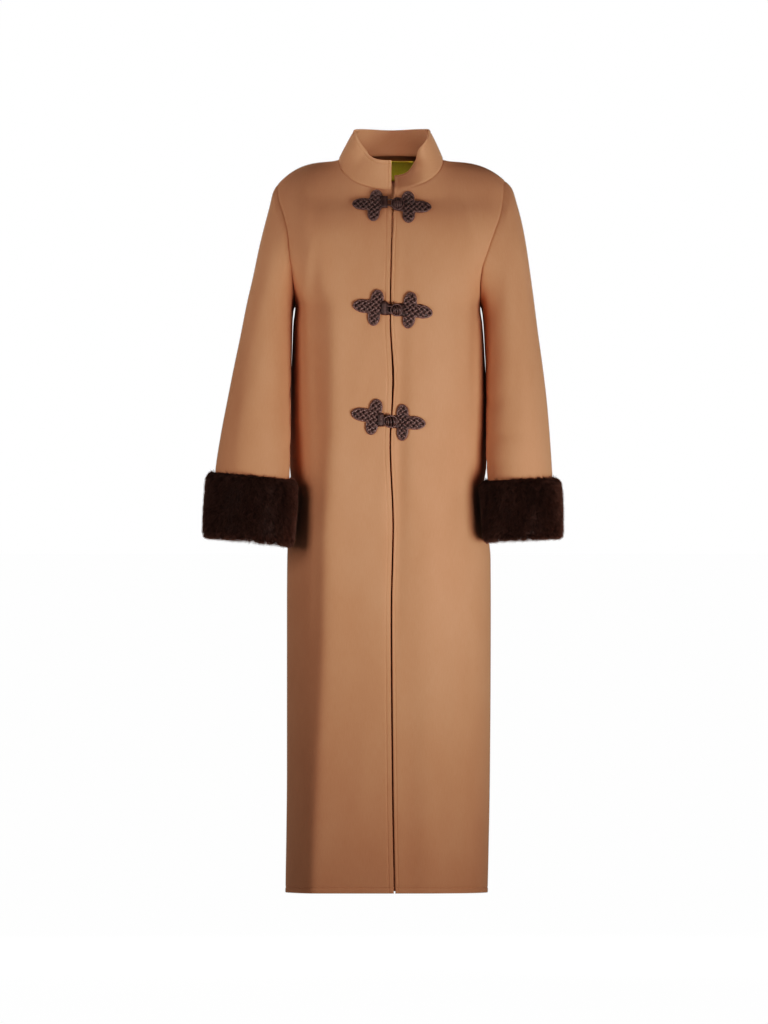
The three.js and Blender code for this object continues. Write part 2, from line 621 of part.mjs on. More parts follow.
/** A pad of coiled cord with three lobes. out is -1 on the right front and 1 on the left. */
function makeTrefoil([centreX, centreZ], out, turn, slope) {
  const count = 30;
  const turned = THREE.MathUtils.degToRad(-turn);
  const ringAt = (share, rise) => Array.from({ length: count }, (_, i) => {
    const angle = (i / count) * 2 * Math.PI;
    const r = trefoilReach(Math.cos(angle), Math.sin(angle)) * share;
    const x = out * r * Math.cos(angle);
    const z = r * Math.sin(angle);
    const turnedZ = x * Math.sin(turned) + z * Math.cos(turned);
    return onFront(centreX + x * Math.cos(turned) - z * Math.sin(turned), centreZ + turnedZ * slope, rise);
  });
  const low = ON_CLOTH;
  const rings = [ringAt(0.5, low), ringAt(0.97, low), ringAt(1, TREFOIL_RISE * 0.5),
    ringAt(0.88, TREFOIL_RISE * 0.92), ringAt(0.45, TREFOIL_RISE)];
  return capped(onFront(centreX, centreZ, low), rings, onFront(centreX, centreZ, TREFOIL_RISE));
}

/** A bar with rounded long edges, from one x to another, lying on the front. */
function makeBar([fromX, fromZ], [toX, toZ], half, low, high) {
  const middle = (low + high) / 2;
  const rings = [[fromX, fromZ], [toX, toZ]].map(([x, z]) => Array.from({ length: 8 }, (_, i) => {
    const turn = (i / 8) * 2 * Math.PI;
    return onFront(x, z + half * Math.cos(turn), middle + ((high - low) / 2) * Math.sin(turn));
  }));
  return capped(onFront(fromX, fromZ, middle), rings, onFront(toX, toZ, middle));
}

function makeBall([x, z]) {
  const centreRise = BALL_R + ON_CLOTH;
  const rings = [1, 2, 3, 4].map((step) => {
    const polar = (step / 5) * Math.PI;
    return Array.from({ length: 10 }, (_, i) => {
      const angle = (i / 10) * 2 * Math.PI;
      const r = BALL_R * Math.sin(polar);
      return onFront(x + r * Math.cos(angle), z + r * Math.sin(angle), centreRise - BALL_R * Math.cos(polar));
    });
  });
  return capped(onFront(x, z, ON_CLOTH), rings, onFront(x, z, centreRise + BALL_R));
}

/** Loop of cord round the ball knot, at the height of its middle. */
function makeLoop([x, z]) {
  const radius = BALL_R + SEAM + CORD_R;
  const grid = Array.from({ length: 16 }, (_, i) => {
    const angle = (i / 16) * 2 * Math.PI;
    return Array.from({ length: 6 }, (_unused, j) => {
      const turn = (j / 6) * 2 * Math.PI;
      const r = radius + CORD_R * Math.cos(turn);
      const rise = BALL_R + ON_CLOTH + CORD_R * Math.sin(turn);
      return onFront(x + r * Math.cos(angle), z + r * Math.sin(angle), rise);
    });
  });
  return ring(grid);
}

function makeLoopSide({ loop, ball, neck, turns, slope }) {
  const start = [neck[0] - NECK_BAND.width / 2, neck[1]];
  const end = [neck[0] + NECK_BAND.width / 2, neck[1]];
  const loopRise = BALL_R + ON_CLOTH;
  const loopStart = [ball[0] - BALL_R - CORD_R, ball[1]];
  const band = makeBar(start, end, (NECK_BAND.height / 2) * slope, ON_CLOTH, NECK_BAND.rise);
  const arms = makeBar(neck, loopStart, 4, loopRise - 4, loopRise + 1);
  const stem = makeBar(loop, neck, 6, ON_CLOTH, TREFOIL_RISE - 0.5);
  return joined([makeTrefoil(loop, -1, turns.loop, slope), stem, band, arms, makeLoop(ball)]);
}

function makeKnotSide({ knot, ball, turns, slope }) {
  const strap = makeBar(ball, knot, 3.5, ON_CLOTH, ON_CLOTH + 3.2);
  return joined([makeTrefoil(knot, 1, turns.knot, slope), strap, makeBall(ball)]);
}

// ---- the coat ----

const coat = new THREE.Group();

function add(name, geometry, colour, roughness) {
  const material = new THREE.MeshStandardMaterial({ color: colour, roughness, metalness: 0 });
  const mesh = new THREE.Mesh(geometry, material);
  mesh.name = name;
  coat.add(mesh);
}

add('back', wall(back.outer, back.inward), colours.wool, 0.85);
for (const side of ['right', 'left']) {
  add(`front_${side}`, makeFront(side), colours.wool, 0.85);
  add(`sleeve_${side}`, makeSleeve(side), colours.wool, 0.85);
  add(`cuff_${side}`, makeCuff(side), colours.fur, 0.7);
}
add('collar', makeCollar(), colours.wool, 0.85);
add('label', makeLabel(), colours.label, 0.5);
for (const frog of FROGS) {
  add(`frog_${frog.name}_loop`, makeLoopSide(frog), colours.cord, 0.6);
  add(`frog_${frog.name}_knot`, makeKnotSide(frog), colours.cord, 0.6);
}

export default coat;
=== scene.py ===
import math

import bpy
import numpy as np
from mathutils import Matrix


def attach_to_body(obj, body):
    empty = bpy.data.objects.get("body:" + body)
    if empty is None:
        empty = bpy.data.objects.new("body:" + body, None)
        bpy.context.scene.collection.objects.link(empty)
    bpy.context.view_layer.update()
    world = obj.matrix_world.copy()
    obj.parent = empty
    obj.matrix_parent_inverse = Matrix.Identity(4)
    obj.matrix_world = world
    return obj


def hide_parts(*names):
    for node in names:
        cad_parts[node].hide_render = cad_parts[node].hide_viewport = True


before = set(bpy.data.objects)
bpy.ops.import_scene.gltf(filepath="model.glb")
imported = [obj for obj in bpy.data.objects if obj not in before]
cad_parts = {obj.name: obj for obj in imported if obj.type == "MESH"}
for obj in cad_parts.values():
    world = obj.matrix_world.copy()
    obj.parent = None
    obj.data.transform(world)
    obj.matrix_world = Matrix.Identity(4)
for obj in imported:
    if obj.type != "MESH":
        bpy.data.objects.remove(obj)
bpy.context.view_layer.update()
MM = 0.001   # the cutting sizes are in millimetres, and the meshes in metres


# ---- camera ----
# It stands level and square to the coat's front. Its view is as high as 1024 steps of 1.75 mm at
# the side seams, and its middle lies a little to the wearer's right of the neck, 620 mm below it.
VIEW_HEIGHT = 1.792
VIEW_MIDDLE = (-0.012, -0.6195)   # x and z
CAMERA_AWAY = 40.0
SENSOR = 36

scene = bpy.context.scene


def add_object(name, data):
    """A new object of the scene, unturned at the origin."""
    made = bpy.data.objects.new(name, data)
    scene.collection.objects.link(made)
    return made


camera_data = bpy.data.cameras.new("camera")
camera_data.sensor_fit = "VERTICAL"
camera_data.sensor_height = SENSOR
camera_data.lens = SENSOR * CAMERA_AWAY / VIEW_HEIGHT
camera_data.clip_end = 1000
scene.camera = add_object("camera", camera_data)
scene.camera.location = (VIEW_MIDDLE[0], -CAMERA_AWAY, VIEW_MIDDLE[1])
scene.camera.rotation_euler = (math.pi / 2, 0, 0)

# The tone curve of a print: deeper shadows, the same middle tones and slightly softer light ones.
TONES = ((0.02, 0.0085), (0.05, 0.0295), (0.1, 0.0765), (0.15, 0.133), (0.2, 0.193), (0.25, 0.25),
         (0.35, 0.35), (0.45, 0.435), (0.6, 0.56), (0.8, 0.76))
viewing = scene.view_settings
viewing.view_transform = "Standard"
viewing.use_curve_mapping = True
for place, value in TONES:
    viewing.curve_mapping.curves[3].points.new(place, value)
viewing.curve_mapping.update()


# ---- studio ----
# A pale floor and an even white surround that lights only weakly. A large soft box stands low in
# front on the wearer's left and a smaller one on the right. Narrow ones light the shoulders and the
# inside of the neck, and one lights the back.
FLOOR_Z = -1.42
FLOOR_HALF = 400
FLOOR_SHARE = 0.93   # how much of the floor shines by itself for the camera
FLOOR_SHINE = 1.06   # how brightly, against the surround
SURROUND = 1.0
AMBIENT = 0.13


def soft_box(name, place, aim, size, power, spread=180):
    """An area light at a place, facing a point. Its beam opens to the spread, in degrees."""
    data = bpy.data.lights.new(name, "AREA")
    data.shape = "RECTANGLE"
    data.size, data.size_y = size
    data.energy = power
    data.spread = math.radians(spread)
    lamp = add_object(name, data)
    lamp.location = place
    facing = np.subtract(aim, place)
    lamp.rotation_euler = (math.acos(-facing[2] / np.linalg.norm(facing)), 0,
                           math.atan2(facing[1], facing[0]) - math.pi / 2)
    lamp.visible_camera = False


soft_box("key", (0.95, -1.25, -0.90), (-0.16, 0, -0.40), (0.7, 0.7), 6.3, 88)
soft_box("fill", (-1.15, -1.05, -0.42), (-0.22, 0, -0.38), (0.5, 0.5), 2.4, 95)
for side in (-1, 1):
    soft_box("shoulder_light", (side * 1.60, -0.45, -0.05), (side * 0.20, 0, -0.14), (0.3, 0.3), 0.08, 20)
soft_box("neck_light", (0.0, -0.40, 0.30), (0, 0.06, 0.0), (0.12, 0.12), 0.08, 36)
soft_box("back_light", (-0.6, 2.6, 0.4), (0, 0, -0.55), (1.6, 2.0), 22)


class Wire:
    """A socket of a material's nodes. Sums, differences and products of wires add Math nodes."""

    def __init__(self, tree, socket=None):
        self.tree = tree
        self.socket = socket

    def node(self, kind, settings=(), inputs=(), output=0):
        """A new node: its settings are made first, then each input gets its number or its wire."""
        made = self.tree.nodes.new(kind)
        for name, value in dict(settings).items():
            setattr(made, name, value)
        for name, value in dict(inputs).items():
            if isinstance(value, Wire):
                self.tree.links.new(value.socket, made.inputs[name])
            else:
                made.inputs[name].default_value = value
        return Wire(self.tree, made.outputs[output] if made.outputs else None)

    def maths(self, operation, first, second):
        return self.node("ShaderNodeMath", {"operation": operation}, {0: first, 1: second})

    def __add__(self, other):
        return self.maths("ADD", self, other)

    __radd__ = __add__

    def __mul__(self, other):
        return self.maths("MULTIPLY", self, other)

    __rmul__ = __mul__

    def __sub__(self, other):
        return self.maths("SUBTRACT", self, other)

    def __rsub__(self, other):
        return self.maths("SUBTRACT", other, self)

    def __pow__(self, power):
        return self.maths("POWER", self, power)

    def noise(self, scale, detail=2.0, roughness=0.5):
        """Noise from 0 to 1 on this vector, with so many bumps to a metre."""
        inputs = {"Vector": self, "Scale": scale, "Detail": detail, "Roughness": roughness}
        return self.node("ShaderNodeTexNoise", {}, inputs)

    def stretched(self, x, y, z=1.0):
        """This vector with its three parts multiplied."""
        return self.node("ShaderNodeVectorMath", {"operation": "MULTIPLY"}, {0: self, 1: (x, y, z)})

    def blend(self, low, high):
        """Colour between two others, by this wire as the share of the second."""
        settings = {"data_type": "RGBA", "clamp_factor": True}
        return self.node("ShaderNodeMix", settings, {0: self, 6: low, 7: high}, 2)

    def bump(self, strength, distance):
        """The surface's direction when this wire raises it, at most by a distance in metres."""
        return self.node("ShaderNodeBump", {}, {"Strength": strength, "Distance": distance, "Height": self})

    def attribute(self, name):
        """A number that every point of the mesh holds under a name."""
        return self.node("ShaderNodeAttribute", {"attribute_name": name}, output=2)


def finish(name, kind=bpy.data.materials):
    """A new material or world and the wire that starts its nodes."""
    made = kind.new(name)
    made.use_nodes = True
    made.node_tree.nodes.clear()
    return made, Wire(made.node_tree)


def surface(start, inputs):
    """The material's shader, from its inputs."""
    shader = start.node("ShaderNodeBsdfPrincipled", {}, inputs)
    start.node("ShaderNodeOutputMaterial", {}, {"Surface": shader})


def colour(red, green, blue):
    """A screen colour of 0 to 255 as the linear one that shaders use."""
    value = np.array([red, green, blue]) / 255
    linear = np.where(value <= 0.04045, value / 12.92, ((value + 0.055) / 1.055) ** 2.4)
    return (*linear.tolist(), 1.0)


scene.world, start = finish("surround", bpy.data.worlds)
to_camera = start.node("ShaderNodeLightPath")
level = start.node("ShaderNodeMix", {}, {"Factor": to_camera, "A": AMBIENT, "B": SURROUND})
background = start.node("ShaderNodeBackground", {}, {"Color": (1, 1, 1, 1), "Strength": level})
start.node("ShaderNodeOutputWorld", {}, {"Surface": background})

floor_material, start = finish("floor")
speckle = start.node("ShaderNodeTexCoord", output=3).noise(9)
matt = start.node("ShaderNodeBsdfPrincipled", {}, {
    "Base Color": speckle.blend((0.78, 0.78, 0.78, 1), (0.82, 0.82, 0.82, 1)), "Roughness": 0.9})
lit = start.node("ShaderNodeEmission", {}, {"Color": (1, 1, 1, 1), "Strength": SURROUND * FLOOR_SHINE})
to_camera = start.node("ShaderNodeLightPath") * FLOOR_SHARE
mixed = start.node("ShaderNodeMixShader", {}, {0: to_camera, 1: matt, 2: lit})
start.node("ShaderNodeOutputMaterial", {}, {"Surface": mixed})
floor_mesh = bpy.data.meshes.new("floor")
floor_mesh.from_pydata([(x * FLOOR_HALF, y * FLOOR_HALF, FLOOR_Z) for x, y in
                        ((-1, -1), (1, -1), (1, 1), (-1, 1))], [], [(0, 1, 2, 3)])
floor_mesh.materials.append(floor_material)
floor = add_object("floor", floor_mesh)


# ---- back ----
# One panel of double-faced camel wool, from the neckline and shoulders to the hem. It is cut from
# the table below, which it shares with the fronts, and hangs in soft troughs. Its armhole, shoulder
# and side edges are sewn, so they roll in slightly, and its hem is folded in and felled by hand.
CLOTH = 2.2
SEAM = 0.08
HEM_Z = -1285
UNDERARM_Z = -262
NECK_HALF = 92
NECK_SIDE_Z = -3
NECK_FRONT_DROP = 52
NECK_BACK_RISE = 9
NECK_FLARE = {"drop": 3.4, "width": 9}
NECK_ARCH = 25.7
NECK_Y = -12   # the middle of the neck lies so far in front of the side seams
SHOULDER_TIP = {"x": (199, 200), "z": (-47, -40)}   # wearer's right, wearer's left
SHOULDER_ROUND = {"front": 150, "back": 130}
ARM_ROWS = 12
YOKE_ROWS = 6
NECK_COLUMNS = 5
HALF_COLUMNS = 12


def table(columns, *rows):
    """Rows of numbers under named columns, as one array for each column."""
    return dict(zip(columns.split(), np.array(rows, float).T))


BODY = table(
    "z right left share front back roll",
    (20, 200, 200, 0.92, 86, 112, 0.72), (-66, 197, 196.5, 0.9, 92, 111, 0.72),
    (-100, 187, 191, 0.87, 104, 112, 0.71), (-132, 180, 180, 0.85, 112, 112, 0.7),
    (-168, 176.5, 168, 0.85, 118, 111, 0.69), (-190, 174, 161, 0.87, 121, 110, 0.68),
    (-225, 170.5, 157, 0.93, 124, 108, 0.68), (-262, 167.5, 156.6, 1, 126, 106, 0.68),
    (-290, 170.8, 160.2, 1, 125.8, 104.8, 0.678), (-330, 172.4, 163.2, 1, 125.5, 103.5, 0.675),
    (-400, 175, 166.5, 1, 125, 101, 0.67), (-470, 177, 168, 1, 126, 102.5, 0.675),
    (-535, 177, 167.5, 1, 127, 104, 0.68), (-588, 173, 160.5, 1, 128, 105.5, 0.68),
    (-640, 177.5, 167, 1, 128.5, 107, 0.68), (-700, 181.5, 174.5, 1, 129, 108.5, 0.68),
    (-780, 182, 175, 1, 130, 110, 0.68), (-1070, 182, 173.5, 1, 133, 115, 0.75),
    (-1285, 184.6, 169.5, 1, 136, 120, 0.78),
)
FADE = 150
# Troughs: x at the top, sideways drift down to the hem, where they start and end, width, depth.
FOLDS = {
    "front": (
        (-118, -6, -190, -620, 15, 8), (26, 6, -520, -1400, 22, 3.5), (92, 16, -640, -1400, 26, 4),
        (132, 4, -230, -560, 14, 5),
    ),
    "back": (
        (-104, -18, -330, -1400, 26, 8), (-22, 14, -560, -1400, 30, 5),
        (84, 22, -270, -1400, 24, 7),
    ),
}
# Small creases, each a soft dent (or, below 0, a ridge): across, up, lean, width, length, depth.
BACK_CREASES = (
    (-128, -150, 12, 9, 70, 1.6), (131, -165, -14, 8, 85, 1.8), (-96, -230, 24, 10, 60, 1.2),
    (60, -205, -30, 12, 55, 0.9), (-58, -500, 6, 11, 170, 1.3), (38, -640, -4, 13, 210, 1.2),
    (122, -760, 3, 10, 190, 1.5), (-138, -880, -3, 12, 240, 1.4), (6, -980, 2, 15, 180, -1.0),
    (-70, -1120, -5, 12, 130, 1.1), (70, -1100, 4, 14, 150, 1.3),
)


def read(rows, key, at):
    """Value of a table's column at a value of its first one: a cubic that never overshoots."""
    place, value = next(iter(rows.values())), rows[key]
    if place[0] > place[-1]:
        place, value = place[::-1], value[::-1]
    slope = np.diff(value) / np.diff(place)
    before, after = slope[:-1], slope[1:]
    same = before * after > 0
    middle = np.where(same, 2 * before * after / np.where(same, before + after, 1), 0)
    tangent = np.r_[slope[:1], middle, slope[-1:]]
    at = np.clip(at, place[0], place[-1])
    i = np.clip(np.searchsorted(place, at, side="right") - 1, 0, len(slope) - 1)
    span = place[i + 1] - place[i]
    f = (at - place[i]) / span
    rise = f * f * (3 - 2 * f)
    bend = tangent[i] * f * (1 - f) ** 2 - tangent[i + 1] * f * f * (1 - f)
    return value[i] * (1 - rise) + value[i + 1] * rise + span * bend


def smoothstep(low, high, value):
    """0 at low, 1 at high, and an even S between them."""
    t = np.clip((value - low) / (high - low), 0, 1)
    return t * t * (3 - 2 * t)


def unit(vectors):
    """Vectors shortened or stretched to a length of 1."""
    return vectors / np.maximum(np.linalg.norm(vectors, axis=-1, keepdims=True), 1e-9)


def pick(side, values):
    """The wearer's-right or wearer's-left value of a pair, for sides of -1 and 1."""
    return np.where(side < 0, values[0], values[1])


def reach(z, side):
    """Distance of the panel's outer edge from the middle."""
    return pick(side, [read(BODY, key, z) for key in ("right", "left")])


def shoulder_z(x):
    """Height of the shoulder seam: a smooth arch over the neck, a short flare at the collar, and a
    fall with the cube of the distance from it."""
    drop, width = NECK_FLARE["drop"], NECK_FLARE["width"]
    t = np.clip(np.abs(x) / NECK_HALF, 0, 1)
    arch = NECK_ARCH * (2 * t ** 3 - 3 * t ** 2 + 1) + drop / width * NECK_HALF * t ** 2 * (1 - t)
    outside = np.maximum(np.abs(x) - NECK_HALF, 0)
    span = pick(x, SHOULDER_TIP["x"]) - NECK_HALF
    fall = (NECK_SIDE_Z - drop - pick(x, SHOULDER_TIP["z"])) * (outside / span) ** 3
    return NECK_SIDE_Z + arch - drop * (1 - np.exp(-outside / width)) - fall


def section(face, side, share, z):
    """Depth across the body as a part of the full depth: it rounds evenly to the side seam, but
    the wearer's-right front stays flat as far as a soft corner and then runs back."""
    even = np.maximum(1 - share ** 2.7, 0) ** 0.455
    if face == "back":
        return even
    softness = 18
    corner = 1 - read(BODY, "roll", z)
    flat = 1 - 0.05 * share ** 2
    turned = 0.93 * (np.maximum(1 - share, 0) / corner) ** 0.585
    rolled = -np.log(np.exp(-flat * softness) + np.exp(-turned * softness)) / softness
    return np.where(side < 0, np.maximum(rolled, 0), even)


def fold_depth(face, x, z):
    """Sum of the troughs: bell curves across, faded in and out at their ends."""
    total = np.zeros(np.broadcast(x, z).shape)
    for centre, drift, top, foot, width, depth in FOLDS[face]:
        down = (top - z) / (top - HEM_Z)
        offset = (x - centre - drift * down) / width
        fade = smoothstep(top, top - FADE, z) * smoothstep(foot, foot + FADE, z)
        total += depth * fade * np.exp(-offset * offset)
    return total


def crease_depth(creases, across, up):
    """Sum of small dents: each a bell curve across its line and a flatter one along it."""
    total = np.zeros(np.broadcast(across, up).shape)
    for centre, height, lean, width, length, depth in creases:
        cos, sin = math.cos(math.radians(lean)), math.sin(math.radians(lean))
        dx, dz = across - centre, up - height
        beside = (dx * cos - dz * sin) / width
        along = (dx * sin + dz * cos) / length
        total += depth * np.exp(-beside ** 2 - np.abs(along) ** 3)
    return total


def depth_at(face, x, z, creases=()):
    """Distance of the outer face from the plane of the side seams."""
    side = np.where(x < 0, -1, 1)
    share = np.minimum(np.abs(x) * read(BODY, "share", z) / reach(z, side), 1)
    across = section(face, side, share, z)
    over = np.clip((shoulder_z(x) - z) / SHOULDER_ROUND[face], 0, 1)
    ridge = np.sqrt(1 - (1 - over) ** 2)
    dents = fold_depth(face, x, z) + crease_depth(creases, x, z)
    return read(BODY, face, z) * across * ridge - dents * smoothstep(0, 0.35, across * ridge)


def face_point(face, x, z, creases=()):
    """Point of a panel's outer face, half a seam's gap off the plane of the side seams."""
    out = depth_at(face, x, z, creases) + SEAM / 2
    return np.stack([x, -out if face == "front" else out, z], -1)


def face_inward(face, x, z, creases=()):
    """Unit vector from the outer face into the coat, from the slopes of its depth."""
    step = 0.6
    along_x = depth_at(face, x + step, z, creases) - depth_at(face, x - step, z, creases)
    along_z = depth_at(face, x, z + step, creases) - depth_at(face, x, z - step, creases)
    back = np.full(x.shape, 1.0 if face == "front" else -1.0)
    return unit(np.stack([along_x / (2 * step), back, along_z / (2 * step)], -1))


def neck_inward(points):
    """Direction that the collar's edge and the panels' edge share along the neckline."""
    level = np.stack([-points[..., 0], NECK_Y - points[..., 1], 0 * points[..., 0]], -1)
    return unit(level) * 0.8 + np.array([0, 0, -0.6])


def armhole_inward(points, side):
    """Direction that the armhole's edge and the sleeve's edge share: to the armhole's middle."""
    middle = (pick(side, SHOULDER_TIP["z"]) + UNDERARM_Z) / 2
    return unit(np.stack([0 * points[..., 0], -points[..., 1], middle - points[..., 2]], -1))


def column_share(column):
    """Part of the way from the middle to the edge. Columns lie closer together near the edge."""
    return 1 - (1 - column / HALF_COLUMNS) ** 1.6


def opening_edge(side, z):
    """x of a front's edge. The back has no opening, so it reads no table."""
    return read(OPENING, "x", z) + side * read(OPENING, "gap", z) / 2


def column_top(face, side, column):
    """Top of a column: on the neckline's quarter ellipse, and past it on the shoulder seam."""
    angle = np.clip(column / NECK_COLUMNS, 0, 1) * math.pi / 2
    fall = -NECK_FRONT_DROP if face == "front" else NECK_BACK_RISE
    neck_x, neck_z = NECK_HALF * np.sin(angle) * side, NECK_SIDE_Z + fall * np.cos(angle)
    if face == "front":
        neck_x = neck_x + opening_edge(side, neck_z) * smoothstep(1, 0, column)
    begin = column_share(NECK_COLUMNS)
    along = (column_share(column) - begin) / (1 - begin)
    x = (NECK_HALF + (pick(side, SHOULDER_TIP["x"]) - NECK_HALF) * along) * side
    on_neck = column <= NECK_COLUMNS
    return np.where(on_neck, neck_x, x), np.where(on_neck, neck_z, shoulder_z(x))


def level_x(face, side, column, z):
    """x of a column where the rows lie level: its share of the way to the outer edge."""
    edge = reach(z, side) * side
    begin = opening_edge(side, z) if face == "front" else 0 * z
    return begin + (edge - begin) * column_share(column)


def arm_row_z(side, row):
    """Height of a row at the armhole: half a cosine from the shoulder's tip to the underarm."""
    tip = pick(side, SHOULDER_TIP["z"])
    return tip + (UNDERARM_Z - tip) * (1 - np.cos(math.pi * np.minimum(row, ARM_ROWS) / ARM_ROWS)) / 2


def panel_place(face, side, row, column):
    """x and z of a panel's points. Rows run from the neckline and shoulder (0) to the underarm
    (12) and then, by height alone, to the hem (13). Columns run from the middle (0) to the edge."""
    side, row, column = np.broadcast_arrays(np.asarray(side, float), row, column)
    below = np.clip(row - ARM_ROWS, 0, 1)
    level_z = arm_row_z(side, row) + (HEM_Z - UNDERARM_Z) * below
    base_z = arm_row_z(side, np.full(row.shape, YOKE_ROWS))
    tip_x, tip_z = pick(side, SHOULDER_TIP["x"]), pick(side, SHOULDER_TIP["z"])
    tip_down = (level_z - tip_z) / (base_z - tip_z)
    down = row / YOKE_ROWS + (tip_down - row / YOKE_ROWS) * column_share(column) ** 3
    top_x, top_z = column_top(face, side, column)
    straight = side * (tip_x + (reach(base_z, side) - tip_x) * tip_down)
    bow = (side * reach(level_z, side) - straight) * np.clip(row, 0, 1)
    yoke_x = top_x + (level_x(face, side, column, base_z) - top_x) * down + bow * column_share(column) ** 4
    yoke_z = top_z + (base_z - top_z) * down
    if face == "front":
        neck_edge = opening_edge(side, np.full(row.shape, float(NECK_SIDE_Z - NECK_FRONT_DROP)))
        straight_edge = neck_edge + (opening_edge(side, base_z) - neck_edge) * down
        yoke_x += (opening_edge(side, yoke_z) - straight_edge) * smoothstep(1, 0, column)
    in_yoke = row < YOKE_ROWS
    return np.where(in_yoke, yoke_x, level_x(face, side, column, level_z)), np.where(in_yoke, yoke_z, level_z)


def panel(face, side, row, column, creases):
    """Outer points of a panel and the unit vectors into it, turned near the sewn edges into the
    directions that both of the pieces at a seam share."""
    x, z = panel_place(face, side, row, column)
    side, row, column = np.broadcast_arrays(np.asarray(side, float), row, column)
    points = face_point(face, x, z, creases)
    inward = face_inward(face, x, z, creases)
    level = np.concatenate([inward[..., :2], 0 * inward[..., 2:]], -1)
    across = np.stack([-side, 0 * side, 0 * side], -1)
    edge = np.where((row <= ARM_ROWS)[..., None], armhole_inward(points, side), across)
    top = np.where((column <= NECK_COLUMNS)[..., None], neck_inward(points), [0.0, 0.0, -1.0])
    near_hem = smoothstep(12.985, 13, row)[..., None]
    near_top = smoothstep(0.6, 0, row)[..., None]
    near_edge = smoothstep(11.2, 12, column)[..., None]
    inward = unit(inward * (1 - near_hem) + level * near_hem)
    inward = unit(inward * (1 - near_top) + top * near_top)
    return points, unit(inward * (1 - near_edge) + edge * near_edge)


def from_edge(points, axis, end=False):
    """Distance of each point from the first or the last one of its grid line, along the line."""
    points = np.flip(points, axis) if end else points
    steps = np.diff(points, axis=axis, prepend=np.take(points, [0], axis))
    total = np.cumsum(np.linalg.norm(steps, axis=-1), axis)
    return np.flip(total, axis) if end else total


def sewn(distance):
    """How far a sewn edge rolls in: a soft valley about 5 mm wide on each side of the seam."""
    return np.exp(-(distance / 2.4) ** 2)


def felled(distance, width):
    """A folded-in edge: rounded, a little fuller as far as its hand sewing, and a groove there."""
    rounded = 0.7 * np.exp(-(distance / 0.7) ** 2)
    full = -0.3 * smoothstep(width + 1.2, width - 1.2, distance)
    return rounded + full + 0.85 * np.exp(-((distance - width) / 1.1) ** 2)


def edge_relief(points, top, foot, first, last):
    """How far the edges of a grid roll in, each by the width that is folded in, or 0 if it is sewn."""
    relief = 0
    for axis, end, width in ((1, False, first), (1, True, last), (0, False, top), (0, True, foot)):
        distance = from_edge(points, axis, end)
        relief = relief + (felled(distance, width) if width else sewn(distance))
    return relief


def add_piece(name, points, faces, material, uv=None, values=()):
    """A mesh object from points in millimetres and arrays of face corners. uv has one place for
    each corner, in metres, and values holds named numbers for each point."""
    mesh = bpy.data.meshes.new(name)
    mesh.vertices.add(len(points))
    mesh.vertices.foreach_set("co", (points * MM).astype(np.float32).ravel())
    corners = np.concatenate([part.ravel() for part in faces])
    sizes = np.concatenate([np.full(len(part), part.shape[1]) for part in faces])
    mesh.loops.add(len(corners))
    mesh.loops.foreach_set("vertex_index", corners.astype(np.int32))
    mesh.polygons.add(len(sizes))
    mesh.polygons.foreach_set("loop_start", np.r_[[0], np.cumsum(sizes)[:-1]].astype(np.int32))
    mesh.polygons.foreach_set("use_smooth", np.ones(len(sizes), bool))
    if uv is not None:
        mesh.uv_layers.new(name="cut").data.foreach_set("uv", uv.astype(np.float32).ravel())
    for key, numbers in dict(values).items():
        mesh.attributes.new(key, "FLOAT", "POINT").data.foreach_set("value", numbers.astype(np.float32))
    mesh.update(calc_edges=True)
    mesh.materials.append(material)
    return add_object(name, mesh)


def grid_faces(rows, columns, closed=False):
    """Quads of a grid of points, wrapped round in its second direction if it is closed."""
    r, c = np.indices((rows - 1, columns - 1 + closed))
    corners = [(r, c), (r, c + 1), (r + 1, c + 1), (r + 1, c)]
    return np.stack([a * columns + b % columns for a, b in corners], -1).reshape(-1, 4)


def add_wall(name, outer, inner, uv, material, closed=False):
    """A wall of cloth: two grids and the rims that close it. Where it is closed round, the uv grid
    has one column more."""
    rows, columns = outer.shape[:2]
    count = rows * columns
    quads = grid_faces(rows, columns, closed)
    corners = np.stack([uv[:-1, :-1], uv[:-1, 1:], uv[1:, 1:], uv[1:, :-1]], 2).reshape(-1, 4, 2)
    faces = [quads, quads[:, ::-1] + count]
    places = [corners, corners[:, ::-1]]
    along, down = np.arange(columns - 1 + closed), np.arange(rows - 1)
    rims = [(0, along + 1, 0, along), (rows - 1, along, rows - 1, along + 1)]
    if not closed:
        rims += [(down, 0, down + 1, 0), (down + 1, columns - 1, down, columns - 1)]
    for row, column, next_row, next_column in rims:
        a = row * columns + column % columns
        b = next_row * columns + next_column % columns
        faces.append(np.stack([a, b, b + count, a + count], -1))
        ends = [uv[row, column], uv[next_row, next_column]]
        places.append(np.stack(ends + ends[::-1], 1))
    faces, places = np.concatenate(faces), np.concatenate(places)
    points = np.r_[outer.reshape(-1, 3), inner.reshape(-1, 3)]
    a, b, c = (points[faces[:, i]] for i in range(3))
    if np.sum(a * np.cross(b, c)) < 0:
        faces, places = faces[:, ::-1], places[:, ::-1]
    return add_piece(name, points, [faces], material, places * MM)


def cut_size(points):
    """Flat width, length and area in metres of the cloth that a grid of points covers."""
    across = np.linalg.norm(np.diff(points, axis=1), axis=-1)
    down = np.linalg.norm(np.diff(points, axis=0), axis=-1)
    sides = np.cross(points[1:, 1:] - points[:-1, :-1], points[1:, :-1] - points[:-1, 1:])
    area = np.linalg.norm(sides, axis=-1).sum() / 2
    width, length = across.sum(1).max() * MM, down.sum(0).max() * MM
    return (width, length), min(area * MM ** 2, width * length)


def attach(piece, node, cloth=None):
    """Hides the solid that a piece stands for and makes the piece ride with the root. For a sheet, it works
    out the size as cut from the grid of its cloth, which nothing then uses."""
    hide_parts(node)
    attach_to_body(piece, "root")
    if cloth is not None:
        flat, area = cut_size(cloth)


